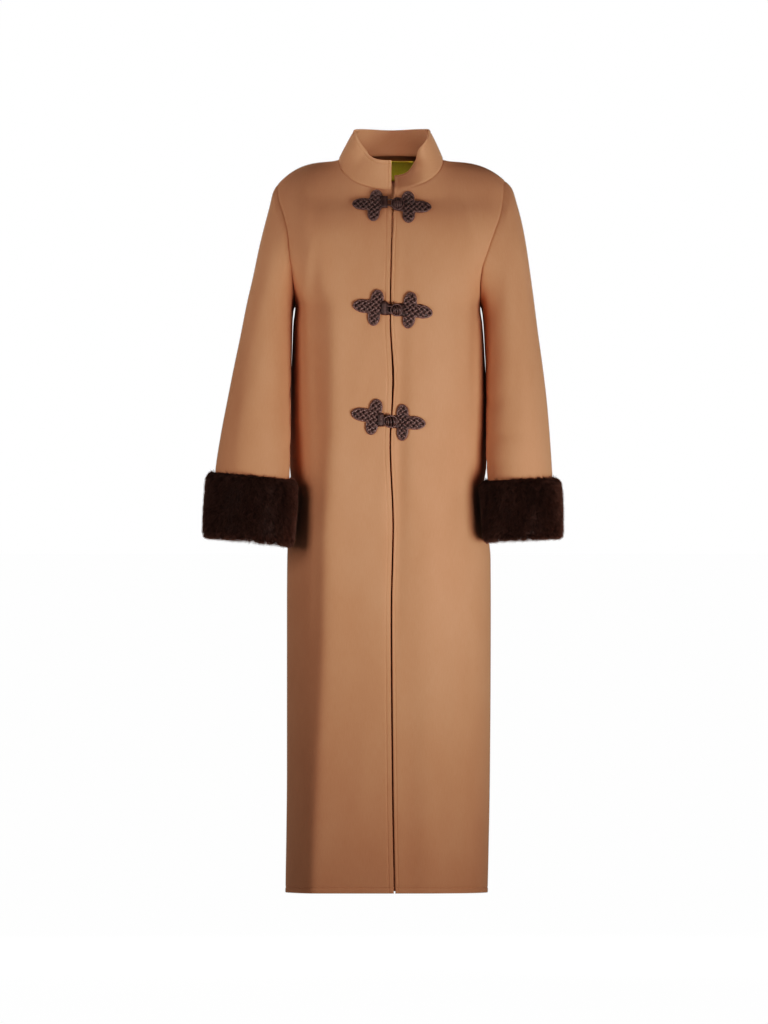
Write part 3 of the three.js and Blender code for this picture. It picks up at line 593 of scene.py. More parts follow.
def add_cloth(name, node, points, inward, relief, uv, closed=False):
    """A piece of the coat's wool: a wall whose outer face is dented by relief."""
    outer = points + inward * relief[..., None]
    inner = points + inward * (CLOTH + 0.2 - 0.3 * np.clip(relief, 0, 1))[..., None]
    piece = add_wall(name, outer, inner, uv, wool, closed)
    attach(piece, node, np.concatenate([points, points[:, :1]], 1) if closed else points)


# Double-faced wool: dense brushed fibres that lie downwards, so the nap is streaked along the
# grain, slightly mottled where it has been pressed and handled, and pale where light grazes it.
WOOL = colour(187, 132, 101)
WOOL_DEEP = colour(170, 114, 84)
WOOL_PALE = colour(201, 149, 117)

wool, start = finish("wool")
cut = start.node("ShaderNodeUVMap", {"uv_map": "cut"})
streaks = cut.stretched(1, 0.07).noise(900, 3, 0.6)
fibres = cut.stretched(1, 0.22).noise(2600, 2, 0.7)
handled = cut.stretched(1, 0.5).noise(16, 3, 0.55)
pressed_mottle_and_painted_highlight = cut.stretched(1, 0.35).noise(5.5)
tone = 0.5 + 0.34 * (streaks - 0.5) + 0.3 * (fibres - 0.5) + 0.4 * (handled - 0.5) + 0.3 * (pressed_mottle_and_painted_highlight - 0.5)
deep_to_mid = (2 * tone).blend(WOOL_DEEP, WOOL)
wool_colour = (2 * tone - 1).blend(deep_to_mid, WOOL_PALE)
nap = (0.6 * streaks + 0.4 * fibres + 0.8 * handled).bump(0.22, 0.0006)
surface(start, {"Base Color": wool_colour, "Roughness": 0.8 + 0.16 * (fibres - 0.5), "Normal": nap,
                "Sheen Weight": 0.25, "Sheen Roughness": 0.6, "Sheen Tint": (1.0, 0.7, 0.48, 1.0),
                "Specular IOR Level": 0.12})

GRAIN = 2.4   # step between the columns of a panel at its side seam, in millimetres
SIDE_LENGTH = 188   # arc that the columns near the side seam cover, in millimetres


def edge_column(distance):
    """Column that lies so far from the side seam, where the body's section turns back."""
    return HALF_COLUMNS * (1 - (np.asarray(distance) / SIDE_LENGTH) ** 1.374)


NEAR_EDGE = np.array([0, 0.5, 1.2, 2.2, 3.5, 5.2, 7.5, 10, 13])
half_columns = edge_column(np.arange(NEAR_EDGE[-1] + GRAIN, SIDE_LENGTH, GRAIN + 0.6))[::-1]
half_columns = np.unique(np.r_[half_columns, edge_column(NEAR_EDGE), [0, NECK_COLUMNS]])
arm_rows = np.r_[[0, 0.02, 0.05, 0.09, 0.14], np.arange(0.25, ARM_ROWS + 0.01, 0.25)]
HEM_WIDTH = 9
HEM_STEPS = np.array([13, 10.6, 9.7, 9, 8.3, 7.4, 5.5, 3.5, 2, 1.1, 0.5, 0])
skirt_length = UNDERARM_Z - HEM_Z
skirt_rows = np.arange(8, skirt_length - 15, 8) / skirt_length
panel_rows = np.r_[arm_rows, ARM_ROWS + skirt_rows, ARM_ROWS + 1 - HEM_STEPS / skirt_length]

back_side = np.r_[np.full(len(half_columns) - 1, -1.0), np.ones(len(half_columns))]
back_columns = np.r_[half_columns[:0:-1], half_columns]
rows, columns = np.meshgrid(panel_rows, back_columns, indexing="ij")
points, inward = panel("back", back_side[None, :], rows, columns, BACK_CREASES)
relief = edge_relief(points, 0, HEM_WIDTH, 0, 0)
across = from_edge(points, 1)
uv = np.stack([across - across[:, len(half_columns) - 1:len(half_columns)], points[..., 2]], -1)
add_cloth("back_panel", "back", points, inward, relief, uv)


# ---- fronts ----
# Two panels of the same wool, cut with the shoulders in one, that meet edge to edge. The edges are
# folded in and felled by hand, so a fine groove runs along each. The wearer's-right front turns
# back at a soft corner over the side, and the left one dips a little beside the opening.
OPENING = table(
    "z x gap",
    (20, 3.7, 5), (-68, 3.5, 5), (-161, 0.9, 2.2), (-280, -0.9, 2.2), (-388, 4.2, 3.5),
    (-439, 2.3, 2.8), (-499, -0.9, 2.8), (-642, 4.2, 2.8), (-800, 1.1, 2.8), (-1108, 3.3, 2.8),
    (-1285, 6.6, 2.8),
)
FRONT_CREASES = (
    (-134, -340, 0, 12, 190, 5), (-128, -640, 1, 10, 190, 2.2), (-134, -960, 1, 11, 210, 1.8),
    (-148, -200, 6, 10, 80, -2.2), (-142, -128, 16, 9, 60, 1.6), (140, -120, -14, 8, 62, 1.4),
    (150, -205, -4, 8, 70, 1.2), (-60, -130, 40, 14, 40, 0.7), (70, -150, -38, 15, 46, 0.7),
    (-46, -360, 14, 12, 90, -0.8), (13, -560, 1, 14, 330, 7.5), (14, -190, 1, 5, 60, -0.9),
    (146, -320, 1, 10, 130, 10), (-30, -560, 10, 12, 90, 0.8), (136, -820, 6, 12, 130, 1.8),
    (122, -1010, 8, 13, 120, 1.5), (78, -780, -3, 15, 120, -1.2), (56, -940, 6, 17, 110, 0.9),
    (-70, -760, -4, 18, 150, 0.8), (-52, -1080, 5, 16, 130, -0.9), (88, -1180, -6, 13, 80, 1.1),
)
FELLED_WIDTH = {"right": 8.6, "left": 4.8}
NEAR_OPENING = np.array([0.4, 0.9, 1.7, 2.7, 3.7, 4.3, 4.8, 5.3, 6, 7, 7.9, 8.6, 9.3, 10.2, 12])
COLUMN_STEP = 0.044   # columns to a millimetre beside the opening

front_columns = np.r_[[0], NEAR_OPENING * COLUMN_STEP, half_columns[half_columns >= 0.55]]
for half, side in (("right", -1.0), ("left", 1.0)):
    rows, columns = np.meshgrid(panel_rows, front_columns, indexing="ij")
    points, inward = panel("front", side, rows, columns, FRONT_CREASES)
    relief = edge_relief(points, 0, HEM_WIDTH, FELLED_WIDTH[half], 0)
    uv = np.stack([side * from_edge(points, 1) + side * 1000, points[..., 2]], -1)
    add_cloth(f"front_panel_{half}", f"front_{half}", points, inward, relief, uv)


# ---- sleeves ----
# Set-in sleeves of the same wool, cut wide and straight. Each hangs forward from a round armhole
# and creases softly at the elbow, and its end runs inside the fur cuff that is sewn round it.
RING = ("outer_x", "outer_z", "inner_x", "inner_z", "depth")
# The rings of both sleeves: first the numbers of the wearer's-right one, then the left one's.
SLEEVES = table(
    "row y " + " ".join(f"{side}_{key}" for side in ("right", "left") for key in RING),
    (0, 0, 199, -47, 167.5, -262, 71, 200, -40, 156.6, -262, 71),
    (1, -1, 206, -60, 169.6, -266, 71, 212, -54, 158.6, -266, 71),
    (2, -3, 213, -88, 170.8, -274, 70, 221, -82, 160, -274, 70),
    (3, -6, 222, -122, 171.8, -288, 69, 230, -117, 161.4, -288, 69),
    (4, -10, 231, -159, 172.3, -306, 68, 237, -155, 162.7, -306, 68),
    (5, -16, 241, -207, 172.8, -332, 67, 243.5, -200, 163.9, -332, 67),
    (6, -23, 252, -255, 173.6, -364, 66, 250, -248, 165.4, -364, 66),
    (7, -32, 263, -311, 174, -404, 65, 257, -304, 165.6, -404, 65),
    (8, -42, 275, -369, 174.4, -448, 64, 265, -362, 165.8, -448, 63),
    (9, -52, 286, -425, 175, -488, 63, 272, -420, 166, -488, 61),
    (10, -62, 297, -483, 176, -521, 62, 277.5, -484, 166.4, -522, 59),
    (11, -71, 306, -541, 177, -556, 61, 282, -552, 168.5, -558, 57),
    (12, -80, 311, -597, 179, -608, 60, 285, -603, 172.5, -604, 56),
    (13, -89, 315, -660, 183, -675, 60, 287, -661, 175, -667, 56),
)
SLEEVE_END = 12.9
GIRTH = 428   # round the sleeve, in the millimetres that its creases are placed by
# across: from the middle of the sleeve's front towards the body. up: below the sleeve's head.
SLEEVE_CREASES = {
    "right": (
        (64, -440, 3, 8, 90, 1.9), (70, -235, 58, 11, 48, 1.8), (48, -292, 66, 13, 56, 1.5),
        (78, -350, 70, 10, 44, 1.3), (-58, -330, -8, 16, 150, 1.6), (-20, -180, 12, 15, 110, 1.0),
        (10, -480, -10, 14, 100, 0.9), (168, -260, -60, 12, 60, 1.8), (196, -330, -66, 14, 64, 1.5),
        (236, -420, 6, 15, 110, 1.3), (285, -200, -10, 15, 130, 1.2),
    ),
    "left": (
        (76, -470, -4, 9, 80, 1.6), (66, -250, 62, 12, 46, 1.6), (38, -330, 68, 12, 60, 1.3),
        (74, -390, 74, 10, 48, 1.5), (-64, -300, 7, 15, 140, 1.3), (-12, -210, -9, 16, 120, 1.1),
        (-30, -450, 12, 14, 90, 0.9), (172, -280, -62, 12, 58, 1.7), (204, -350, -70, 14, 60, 1.4),
        (250, -430, -5, 15, 120, 1.2), (290, -230, 9, 15, 120, 1.1),
    ),
}


def sleeve_point(arm, place, angle):
    """Point of a sleeve: an ellipse between its two outlines, turned from the armhole's plane at
    row 0 to the wrist's at row 13. An angle of 0 is outwards and a quarter turn is the front."""
    outer_x, outer_z, inner_x, inner_z, depth = (read(SLEEVES, f"{arm}_{key}", place) for key in RING)
    side = -1.0 if arm == "right" else 1.0
    turn = np.cos(angle)
    return np.stack([side * (outer_x + inner_x) / 2 + side * (outer_x - inner_x) / 2 * turn,
                     read(SLEEVES, "y", place) - depth * np.sin(angle),
                     (outer_z + inner_z) / 2 + (outer_z - inner_z) / 2 * turn], -1)


def armhole_point(side, column):
    """Point of the sleeve's edge: the panels' armhole edge, moved out by the seam's gap."""
    row = np.where(column <= ARM_ROWS, column, 2 * ARM_ROWS - column)
    edge = np.full(row.shape, float(HALF_COLUMNS))
    front, back = (face_point(face, *panel_place(face, side, row, edge)) for face in ("front", "back"))
    point = np.where((column <= ARM_ROWS)[..., None], front, back)
    point[..., 0] += side * SEAM
    point[..., 1] *= (row > 0) & (row < ARM_ROWS)
    return point


def outward_of(points):
    """Unit normals of a grid that closes round in its second direction, by its neighbours."""
    down = np.gradient(points, axis=0)
    around = np.roll(points, -1, 1) - np.roll(points, 1, 1)
    return unit(np.cross(around, down))


for arm, side in (("right", -1.0), ("left", 1.0)):
    sleeve_columns = np.arange(0, 2 * ARM_ROWS, 0.25)
    places = np.r_[0, 0.03, 0.07, 0.13, 0.22, 0.35, np.arange(0.5, SLEEVE_END, 0.115), SLEEVE_END]
    place, column = np.meshgrid(places, sleeve_columns, indexing="ij")
    angle = column / ARM_ROWS * math.pi
    points = sleeve_point(arm, place, angle)
    to_armhole = armhole_point(side, column[:1]) - points[:1]
    points = points + to_armhole * smoothstep(4, 0, place)[..., None]
    outward = outward_of(points) * side
    around = (angle * 180 / math.pi - 90) * GIRTH / 360
    creases = SLEEVE_CREASES[arm]
    up = -from_edge(points, 0).mean(1, keepdims=True) * np.ones_like(around)
    dents = crease_depth(creases, around, up) + crease_depth(creases, around - GIRTH, up)
    points = points - outward * (dents * smoothstep(0, 2, place))[..., None]
    inward = -outward_of(points) * side
    near_seam = smoothstep(0.5, 0, place)[..., None]
    inward = unit(inward * (1 - near_seam) + armhole_inward(points, side) * near_seam)
    relief = sewn(from_edge(points, 0))
    across = np.linspace(0, GIRTH, len(sleeve_columns) + 1)[None, :] + np.zeros((len(places), 1))
    uv = np.stack([across + side * 3000, np.concatenate([up, up[:, :1]], 1)], -1)
    add_cloth(f"sleeve_cloth_{arm}", f"sleeve_{arm}", points, inward, relief, uv, closed=True)


# ---- collar ----
# A stand collar of the same wool in one band, sewn round the neckline. Its top edge and its two
# ends are folded in and felled, and the wearer's-left end leans in, so it shows its inner side.
COLLAR = table(
    "around right left height shift",
    (0, 4, 61, 50, 6), (18, 12, 58, 51, 26), (36, 24, 38, 55, 36), (54, 35, 22, 60, 10),
    (90, 31, 26, 58, 0), (135, 17, 17, 50, 0), (180, 10, 10, 44, 0), (225, 17, 17, 50, 0),
)
COLLAR_EDGE = 6.5   # width of the folded-in edge
COLLAR_STEPS = np.array([0, 0.5, 1.2, 2.2, 3.5, 5, 5.8, 6.5, 7.2, 8.2])
COLLAR_HEIGHT = 50

steps_up = np.r_[COLLAR_STEPS[:6], np.arange(8, COLLAR_HEIGHT - 9, 3), COLLAR_HEIGHT - COLLAR_STEPS[::-1]]
steps_round = np.r_[COLLAR_STEPS * 0.62, np.arange(7.5, 90, 2.5), [90]]
around = np.r_[steps_round, 180 - steps_round[-2::-1]]
around_all = np.r_[around, around[-2::-1]][None, :]
side = np.r_[np.full(len(around), -1.0), np.ones(len(around) - 1)][None, :]
column = np.where(around_all <= 90, around_all, 180 - around_all) / 90 * NECK_COLUMNS
feet = [face_point(face, *column_top(face, side, column)) for face in ("front", "back")]
foot = np.where((around_all <= 90)[..., None], *feet)
foot[..., 1] *= around_all != 90
lean = np.radians(pick(side, [read(COLLAR, key, around_all) for key in ("right", "left")]))[..., None]
lean_to = read(COLLAR, "shift", around_all) * (side > 0)
to_neck = unit(np.stack([lean_to - foot[..., 0], NECK_Y - foot[..., 1], 0 * foot[..., 0]], -1))
height = read(COLLAR, "height", around_all)
share = (steps_up / COLLAR_HEIGHT)[:, None]
upward = to_neck * np.sin(lean) + np.array([0, 0, 1]) * np.cos(lean)
through = to_neck * np.cos(lean) - np.array([0, 0, 1]) * np.sin(lean)
signed = around_all * side
bow = 0.9 * np.sin(math.pi * share) + 0.5 * np.cos(signed / 15) * np.sin(around_all * math.pi / 180) * share
points = foot + upward * (height * share)[..., None] - through * bow[..., None]
points[0, :, 2] += SEAM
near_seam = smoothstep(0.08, 0, share)[..., None]
inward = unit(through * (1 - near_seam) + neck_inward(points) * near_seam)
relief = edge_relief(points, 0, COLLAR_EDGE, COLLAR_EDGE, COLLAR_EDGE)
uv = np.stack([from_edge(points, 1) + 5000, from_edge(points, 0)], -1)
add_cloth("stand_collar", "collar", points, inward, relief, uv)


# ---- label ----
# A small bare label of olive satin inside the back of the neck. It is woven as a ribbon, folded
# under at its upper edge, and sewn along both ends, so that its middle stands off the cloth.
LABEL_ROWS = (0.3, 1.65)
LABEL_HALF = 1.5    # in columns
LABEL_THICK = 0.8
LABEL_CLEAR = 1.2
OLIVE = colour(216, 196, 40)
OLIVE_PALE = colour(250, 238, 104)

satin, start = finish("label_satin")
cut = start.node("ShaderNodeUVMap", {"uv_map": "cut"})
weft = cut.stretched(0.15, 1).noise(2400, 1, 0.5)
# A painted sheen: soft paler patches painted into the satin's colour. The same noise also varies its
# roughness.
painted_sheen = cut.noise(60)
surface(start, {"Base Color": (0.35 * weft + 0.4 * painted_sheen).blend(OLIVE, OLIVE_PALE),
                "Roughness": 0.34 + 0.2 * (painted_sheen - 0.5), "Normal": weft.bump(0.3, 0.0002),
                "Anisotropic": 0.4, "Sheen Weight": 0.2})

label_columns = np.linspace(-LABEL_HALF, LABEL_HALF, 33)
rows, columns = np.meshgrid(np.linspace(*LABEL_ROWS, 15), label_columns, indexing="ij")
points, inward = panel("back", np.where(columns < 0, -1.0, 1.0), rows, np.abs(columns), ())
middle = 1 - (columns / LABEL_HALF) ** 6
folded = 0.7 * smoothstep(0.42, 0.3, rows)
rise = CLOTH + LABEL_CLEAR + 0.5 * middle + folded
outer = points + inward * rise[..., None]
uv = np.stack([from_edge(points, 1), points[..., 2]], -1)
label = add_wall("neck_label", outer, outer + inward * LABEL_THICK, uv, satin)
attach(label, "label", points)


# ---- fur cuffs ----
# A band of dark mink with its skin side in, sewn round the end of each sleeve. The hair is short
# and dense, lies down and outwards in small soft tufts, and rolls over both edges of the band.
CUFF_TOP = 11.15    # row of the sleeve at which the band starts
CUFF_FOOT = 13
CUFF_LENGTH = 118
FUR = 18            # how far the hair reaches from the sleeve
SKIN = 0.5          # the band's own thickness, as a part of that
LINING = 0.8        # how far the band's inner side lies off the sleeve
BAND_RINGS, BAND_SIDES = 34, 90
CUFF_PROFILE = table(
    "step along out",
    (0, 0.03, 0.04), (1, 0, 0.38), (2, 0.025, 0.72), (3, 0.11, 0.95), (4, 0.35, 1), (5, 0.65, 1),
    (6, 0.89, 0.95), (7, 0.975, 0.72), (8, 1, 0.38), (9, 0.985, 0.04),
)
HAIRS = 56000
TUFT_HAIRS = 16
HAIR_LENGTH = 12.5
HAIR_WIDTH = 0.42
FUR_DEEP = colour(48, 25, 17)
FUR_MID = colour(84, 50, 38)
FUR_TIP = colour(140, 108, 96)

fur, start = finish("mink")
tip, shade, pressed_mottle_and_painted_highlight = (start.attribute(name) for name in ("tip", "shade", "pressed_mottle_and_painted_highlight"))
patches = start.node("ShaderNodeTexCoord", output=3).noise(38)
lift = tip ** 2.2 * (0.25 + 0.75 * shade) * (0.4 + 0.9 * patches)
# Points that hold the painted highlight have the body of their hair painted paler.
body_colour = (tip * 0.9 + 0.8 * pressed_mottle_and_painted_highlight).blend(FUR_DEEP, FUR_MID)
surface(start, {"Base Color": lift.blend(body_colour, FUR_TIP), "Roughness": 0.5 - 0.12 * tip,
                "Specular IOR Level": 0.16})


def cuff_place(arm, angle, along, out):
    """Point outside a sleeve's end: part of the band's length, and a distance out of the sleeve.
    All points of one angle share a direction, square to the line down the band, given too."""
    top, foot = sleeve_point(arm, CUFF_TOP, angle), sleeve_point(arm, CUFF_FOOT, angle)
    ends = sleeve_point(arm, CUFF_FOOT, np.array([0, math.pi]))
    line = unit(foot - top)
    outwards = foot - ends.mean(0)
    outwards = unit(outwards - line * np.sum(outwards * line, -1, keepdims=True))
    place = CUFF_TOP + (CUFF_FOOT - CUFF_TOP) * along
    return sleeve_point(arm, place, angle) + outwards * np.asarray(out)[..., None], line


def skin_place(arm, angle, step, thick):
    """Point of the band's surface, by the step round its profile and its part of the full reach."""
    along = read(CUFF_PROFILE, "along", step)
    out = LINING + (read(CUFF_PROFILE, "out", step) * FUR - LINING) * thick
    inset = (0.5 - along) * (1 - thick) * 0.06
    return cuff_place(arm, angle, along + inset, out)


def profile_steps(count):
    """Steps round the profile that are evenly spaced along its real outline."""
    fine = np.linspace(0, 9, 400)
    along = read(CUFF_PROFILE, "along", fine) * CUFF_LENGTH
    out = read(CUFF_PROFILE, "out", fine) * FUR
    length = np.r_[[0], np.cumsum(np.hypot(np.diff(along), np.diff(out)))]
    return np.interp(np.linspace(0, length[-1], count), length, fine)


def add_cuff(arm, side):
    """A cuff's skin as a closed band, and its hairs, each a bent blade of five points."""
    draw = np.random.default_rng(41 if side < 0 else 42)
    band_angles = np.linspace(0, math.tau, BAND_SIDES, endpoint=False)
    step, angle = np.meshgrid(profile_steps(BAND_RINGS), band_angles, indexing="ij")
    band, _ = skin_place(arm, angle, step, SKIN)
    lining, _ = cuff_place(arm, angle[:1], 0.5, LINING)
    band = np.r_[band, lining]
    faces = grid_faces(len(band) + 1, BAND_SIDES, True) % (len(band) * BAND_SIDES)
    band = band.reshape(-1, 3)

    tufts = HAIRS // TUFT_HAIRS
    steps = profile_steps(2000)
    tuft_step = steps[draw.integers(0, len(steps), tufts)]
    tuft_angle = draw.uniform(0, math.tau, tufts)
    spread_angle = np.repeat(tuft_angle, TUFT_HAIRS) + draw.normal(0, 0.034, HAIRS)
    spread_step = np.clip(np.repeat(tuft_step, TUFT_HAIRS) + draw.normal(0, 0.16, HAIRS), 0.05, 8.95)
    root, line = skin_place(arm, spread_angle, spread_step, SKIN * 0.94)
    full, _ = skin_place(arm, spread_angle, spread_step, 1.0)
    beside, _ = skin_place(arm, spread_angle + 0.02, spread_step, SKIN * 0.94)
    rising = unit(full - root)
    sideways = unit(beside - root)
    swirl = np.sin(3 * spread_angle + 0.9 * spread_step) + 0.7 * np.sin(7 * spread_angle - 1.3 * spread_step)
    tuft_lean = np.repeat(draw.normal(0, 0.28, (tufts, 2)), TUFT_HAIRS, 0)
    down_share = 0.62 + 0.25 * tuft_lean[:, :1] + draw.normal(0, 0.08, (HAIRS, 1))
    side_share = 0.16 * swirl[:, None] + 0.9 * tuft_lean[:, 1:] + draw.normal(0, 0.10, (HAIRS, 1))
    lie = unit(rising * 0.95 + line * down_share + sideways * side_share)
    length = (HAIR_LENGTH * draw.uniform(0.72, 1.0, HAIRS))[:, None]
    bend = unit(lie + line * 0.35)
    across = unit(np.cross(lie, draw.normal(0, 1, (HAIRS, 3))))
    width = HAIR_WIDTH * draw.uniform(0.75, 1.25, (HAIRS, 1))
    middle = root + lie * length * 0.5
    blade = np.stack([root - across * width / 2, root + across * width / 2,
                      middle - across * width * 0.42, middle + across * width * 0.42,
                      middle + bend * length * 0.5], 1)
    start_at = len(band) + 5 * np.arange(HAIRS)[:, None]
    stalks = start_at + np.array([0, 1, 3, 2])
    tips = start_at + np.array([2, 3, 4])
    points = np.r_[band, blade.reshape(-1, 3)]
    tip_value = np.r_[np.full(len(band), 0.1), np.tile([0, 0, 0.5, 0.5, 1.0], HAIRS)]
    shade_value = np.repeat(np.clip(np.repeat(draw.uniform(0, 1, tufts), TUFT_HAIRS)
                                    + draw.normal(0, 0.2, HAIRS), 0, 1), 5)
    shade_value = np.r_[np.full(len(band), 0.3), shade_value]
    # The wearer's-right cuff gets a painted highlight along its foot and its inner side, where its hair is
    # painted paler.
    pressed_mottle_and_painted_highlight = 0.5 * smoothstep(654, 668, -points[:, 2]) + 0.8 * smoothstep(192, 172, -points[:, 0])
    cuff = add_piece(f"fur_cuff_{arm}", points, [faces, stalks, tips], fur,
                     values={"tip": tip_value, "shade": shade_value, "pressed_mottle_and_painted_highlight": pressed_mottle_and_painted_highlight * (side < 0)})
    attach(cuff, f"cuff_{arm}")


add_cuff("right", -1)
add_cuff("left", 1)


# ---- frogs ----
# Three frog fastenings of dark-brown silk cord. On the wearer's right a trefoil mat of plaited
# cord, a wrapped neck and a loop; on the left a ball knot and its own trefoil. The mats are
# plaited flat, edged with one thicker cord, and sewn down; the loop lies round the knot.
FROGS = {
    "top": dict(loop=(-28.4, -84.4), neck=(-10.5, -79.6), ball=(11.6, -85), knot=(31.2, -87.3),
                turns=(4, 2), slope=0.87),
    "middle": dict(loop=(-27.3, -262.5), neck=(-11.4, -264), ball=(8.9, -267), knot=(33.6, -267),
                   turns=(6, 9), slope=1),
    "bottom": dict(loop=(-30.1, -452.9), neck=(-17.5, -458.5), ball=(-2.3, -461.8), knot=(21.2, -462.9),
                   turns=(9, 4), slope=1),
}
# The ellipses of a trefoil: centre and half sizes, each away from the opening and up.
LOBES = (
    (1, 0, 15.5, 16.5), (19.5, 0, 20, 12), (-2, 15.5, 11.5, 16), (0.5, -16, 11, 17),
)
BALL_R, BALL_CORD_R, BALL_TURNS = 7.4, 1.7, 5
ON_CLOTH = 0.6
NECK_WIDTH, NECK_HEIGHT, NECK_RISE = 10, 24, 7.5
EDGE_CORD_R = 1.75
PLAIT_R = 2.5
PLAIT_STEP = 6.8    # distance between the plaited cords
LOOP_R = 9.9        # loop, to the middle of its cord
LOOP_CORD_R = 1.4
TURN_CORD_R = 1.25
TURN_STEP = 1.95    # distance between upright turns
CORD_SIDES, BASE_SIDES = 8, 96
LAY = 5.0           # length in which a cord's two yarns turn once
CORD_BROWN = colour(88, 60, 54)
CORD_PAINTED_SHADE = colour(50, 31, 27)
CORD_GLINT = colour(186, 150, 142)

# The cords' colour carries painted light: each cord is painted paler, with painted glints, where it faces out
# of the cloth, and darker where it faces the cloth (painted shade). A mild dye mottle lies over both.
silk, start = finish("silk_cord")
height = start.attribute("painted_light")
position = start.node("ShaderNodeTexCoord", output=3)
dye = position.noise(220)
yarn = position.noise(3200, 2, 0.6)
painted_light = (0.15 + 0.5 * height + 0.5 * (dye - 0.5)).blend(CORD_PAINTED_SHADE, CORD_BROWN)
glints = (height ** 2.5) * (0.3 + 0.9 * dye)
surface(start, {"Base Color": (0.8 * glints).blend(painted_light, CORD_GLINT), "Roughness": 0.42 + 0.3 * (yarn - 0.5),
                "Normal": yarn.bump(0.35, 0.0002), "Specular IOR Level": 0.4})


def on_front(x, z, rise):
    """Point above the fronts' cloth: x and z on it, and a rise straight out of it."""
    inward = face_inward("front", x, z, FRONT_CREASES)
    return face_point("front", x, z, FRONT_CREASES) - inward * np.asarray(rise)[..., None]


def trefoil_reach(away, up):
    """Distance from a trefoil's middle to its outline: the farthest hit on any of its ellipses."""
    reach_to = np.zeros(away.shape)
    for centre_away, centre_up, half_away, half_up in LOBES:
        a = (away / half_away) ** 2 + (up / half_up) ** 2
        b = away * centre_away / half_away ** 2 + up * centre_up / half_up ** 2
        c = (centre_away / half_away) ** 2 + (centre_up / half_up) ** 2 - 1
        root = b * b - a * c
        reach_to = np.maximum(reach_to, np.where(root < 0, 0, (b + np.sqrt(np.maximum(root, 0))) / a))
    return reach_to


def softened_outline(inset, count):
    """Outline of a trefoil, moved in and with its notches rounded, as evenly spaced points."""
    angle = np.linspace(0, math.tau, 720, endpoint=False)
    line = trefoil_reach(np.cos(angle), np.sin(angle))[:, None] * np.stack([np.cos(angle), np.sin(angle)], -1)
    for _ in range(40):
        line = (np.roll(line, 1, 0) + 2 * line + np.roll(line, -1, 0)) / 4
    along = np.roll(line, -1, 0) - np.roll(line, 1, 0)
    line = line - inset * unit(np.stack([along[:, 1], -along[:, 0]], -1))
    closed = np.r_[line, line[:1]]
    length = np.r_[[0], np.cumsum(np.linalg.norm(np.diff(closed, axis=0), axis=-1))]
    even = np.linspace(0, length[-1], count, endpoint=False)
    return np.stack([np.interp(even, length, closed[:, i]) for i in range(2)], -1)


def tube_faces(rings, sides):
    """Faces of rings of points in a row, and a fan at each end round one of two points that follow."""
    around = np.arange(sides)
    ahead = (around + 1) % sides
    count = rings * sides
    fans = [np.stack([ahead, around, np.full(sides, count)], -1),
            np.stack([around + count - sides, ahead + count - sides, np.full(sides, count + 1)], -1)]
    return [grid_faces(rings, sides, True), *fans]


def cord_mesh(path, radius, closed=False):
    """A round cord along a path, which swells where each of its two yarns comes up. Gives its points, its
    faces, and how far each point faces out of the cloth, from 0 to 1: its share of painted light, which puts
    painted glints on the top and painted shade underneath."""
    tangent = unit(np.roll(path, -1, 0) - np.roll(path, 1, 0) if closed else np.gradient(path, axis=0))
    beside = unit(np.cross(tangent, -face_inward("front", path[:, 0], path[:, 2])))
    outward = np.cross(beside, tangent)
    steps = np.linalg.norm(np.diff(path, axis=0, append=path[:1] if closed else path[-1:]), axis=-1)
    along = np.cumsum(steps) - steps
    turns = max(round(along[-1] / LAY), 1) / max(along[-1], 1) if closed else 1 / LAY
    phi = np.linspace(0, math.tau, CORD_SIDES, endpoint=False)[None, :]
    swell = 0.9 + 0.14 * np.cos(2 * phi - math.tau * turns * along[:, None] * 2)
    size = radius * swell
    if not closed:
        ends_in = np.minimum(np.arange(len(path)), np.arange(len(path))[::-1])
        size = size * np.clip(0.55 + 0.3 * ends_in, 0, 1)[:, None]
    ring = (path[:, None] + size[..., None] * (np.cos(phi)[..., None] * beside[:, None]
                                               + np.sin(phi)[..., None] * outward[:, None]))
    points = ring.reshape(-1, 3)
    painted_light = np.clip((0.5 + 0.5 * np.sin(phi)) * (swell - 0.62) / 0.42, 0, 1).ravel()
    if closed:
        return points, [grid_faces(len(path) + 1, CORD_SIDES, True) % len(points)], painted_light
    points = np.r_[points, path[:1], path[-1:]]
    return points, tube_faces(len(path), CORD_SIDES), np.r_[painted_light, [0.3, 0.3]]


def upright_turn(x, z, half_height, rise, light):
    """One turn of a wrapping cord, which rises as the root of 1 less a sixth power of its height from the
    middle. Light is the share of its painted glints."""
    turn = np.linspace(-1, 1, 19)
    rises = ON_CLOTH + 0.8 + rise * np.sqrt(1 - 0.96 * turn ** 6)
    cord, faces, painted_light = cord_mesh(on_front(np.full(19, x), z + turn * half_height, rises), TURN_CORD_R)
    return cord, faces, painted_light * light


def plait(inset):
    """The mat's cords: two sets of slanting lines, cut at the outline, which pass over and under
    each other in turn. Each has its places away and up, and the wave of its height."""
    cords = []
    places = np.arange(-60, 60, 0.85)
    for lean in (1, -1):
        for index in range(-14, 15):
            offset = index * PLAIT_STEP
            away = (places + lean * offset) / math.sqrt(2) + 9
            up = (lean * places - offset) / math.sqrt(2)
            far = np.maximum(np.hypot(away, up), 1e-6)
            inside = far < trefoil_reach(away / far, up / far) - inset
            wave = lean * np.cos(math.pi * (places / PLAIT_STEP + index))
            edges = np.flatnonzero(np.diff(np.r_[[0], inside.astype(int), [0]]))
            for first, last in zip(edges[::2], edges[1::2]):
                if last - first > 3:
                    cords.append((away[first:last], up[first:last], wave[first:last]))
    return cords


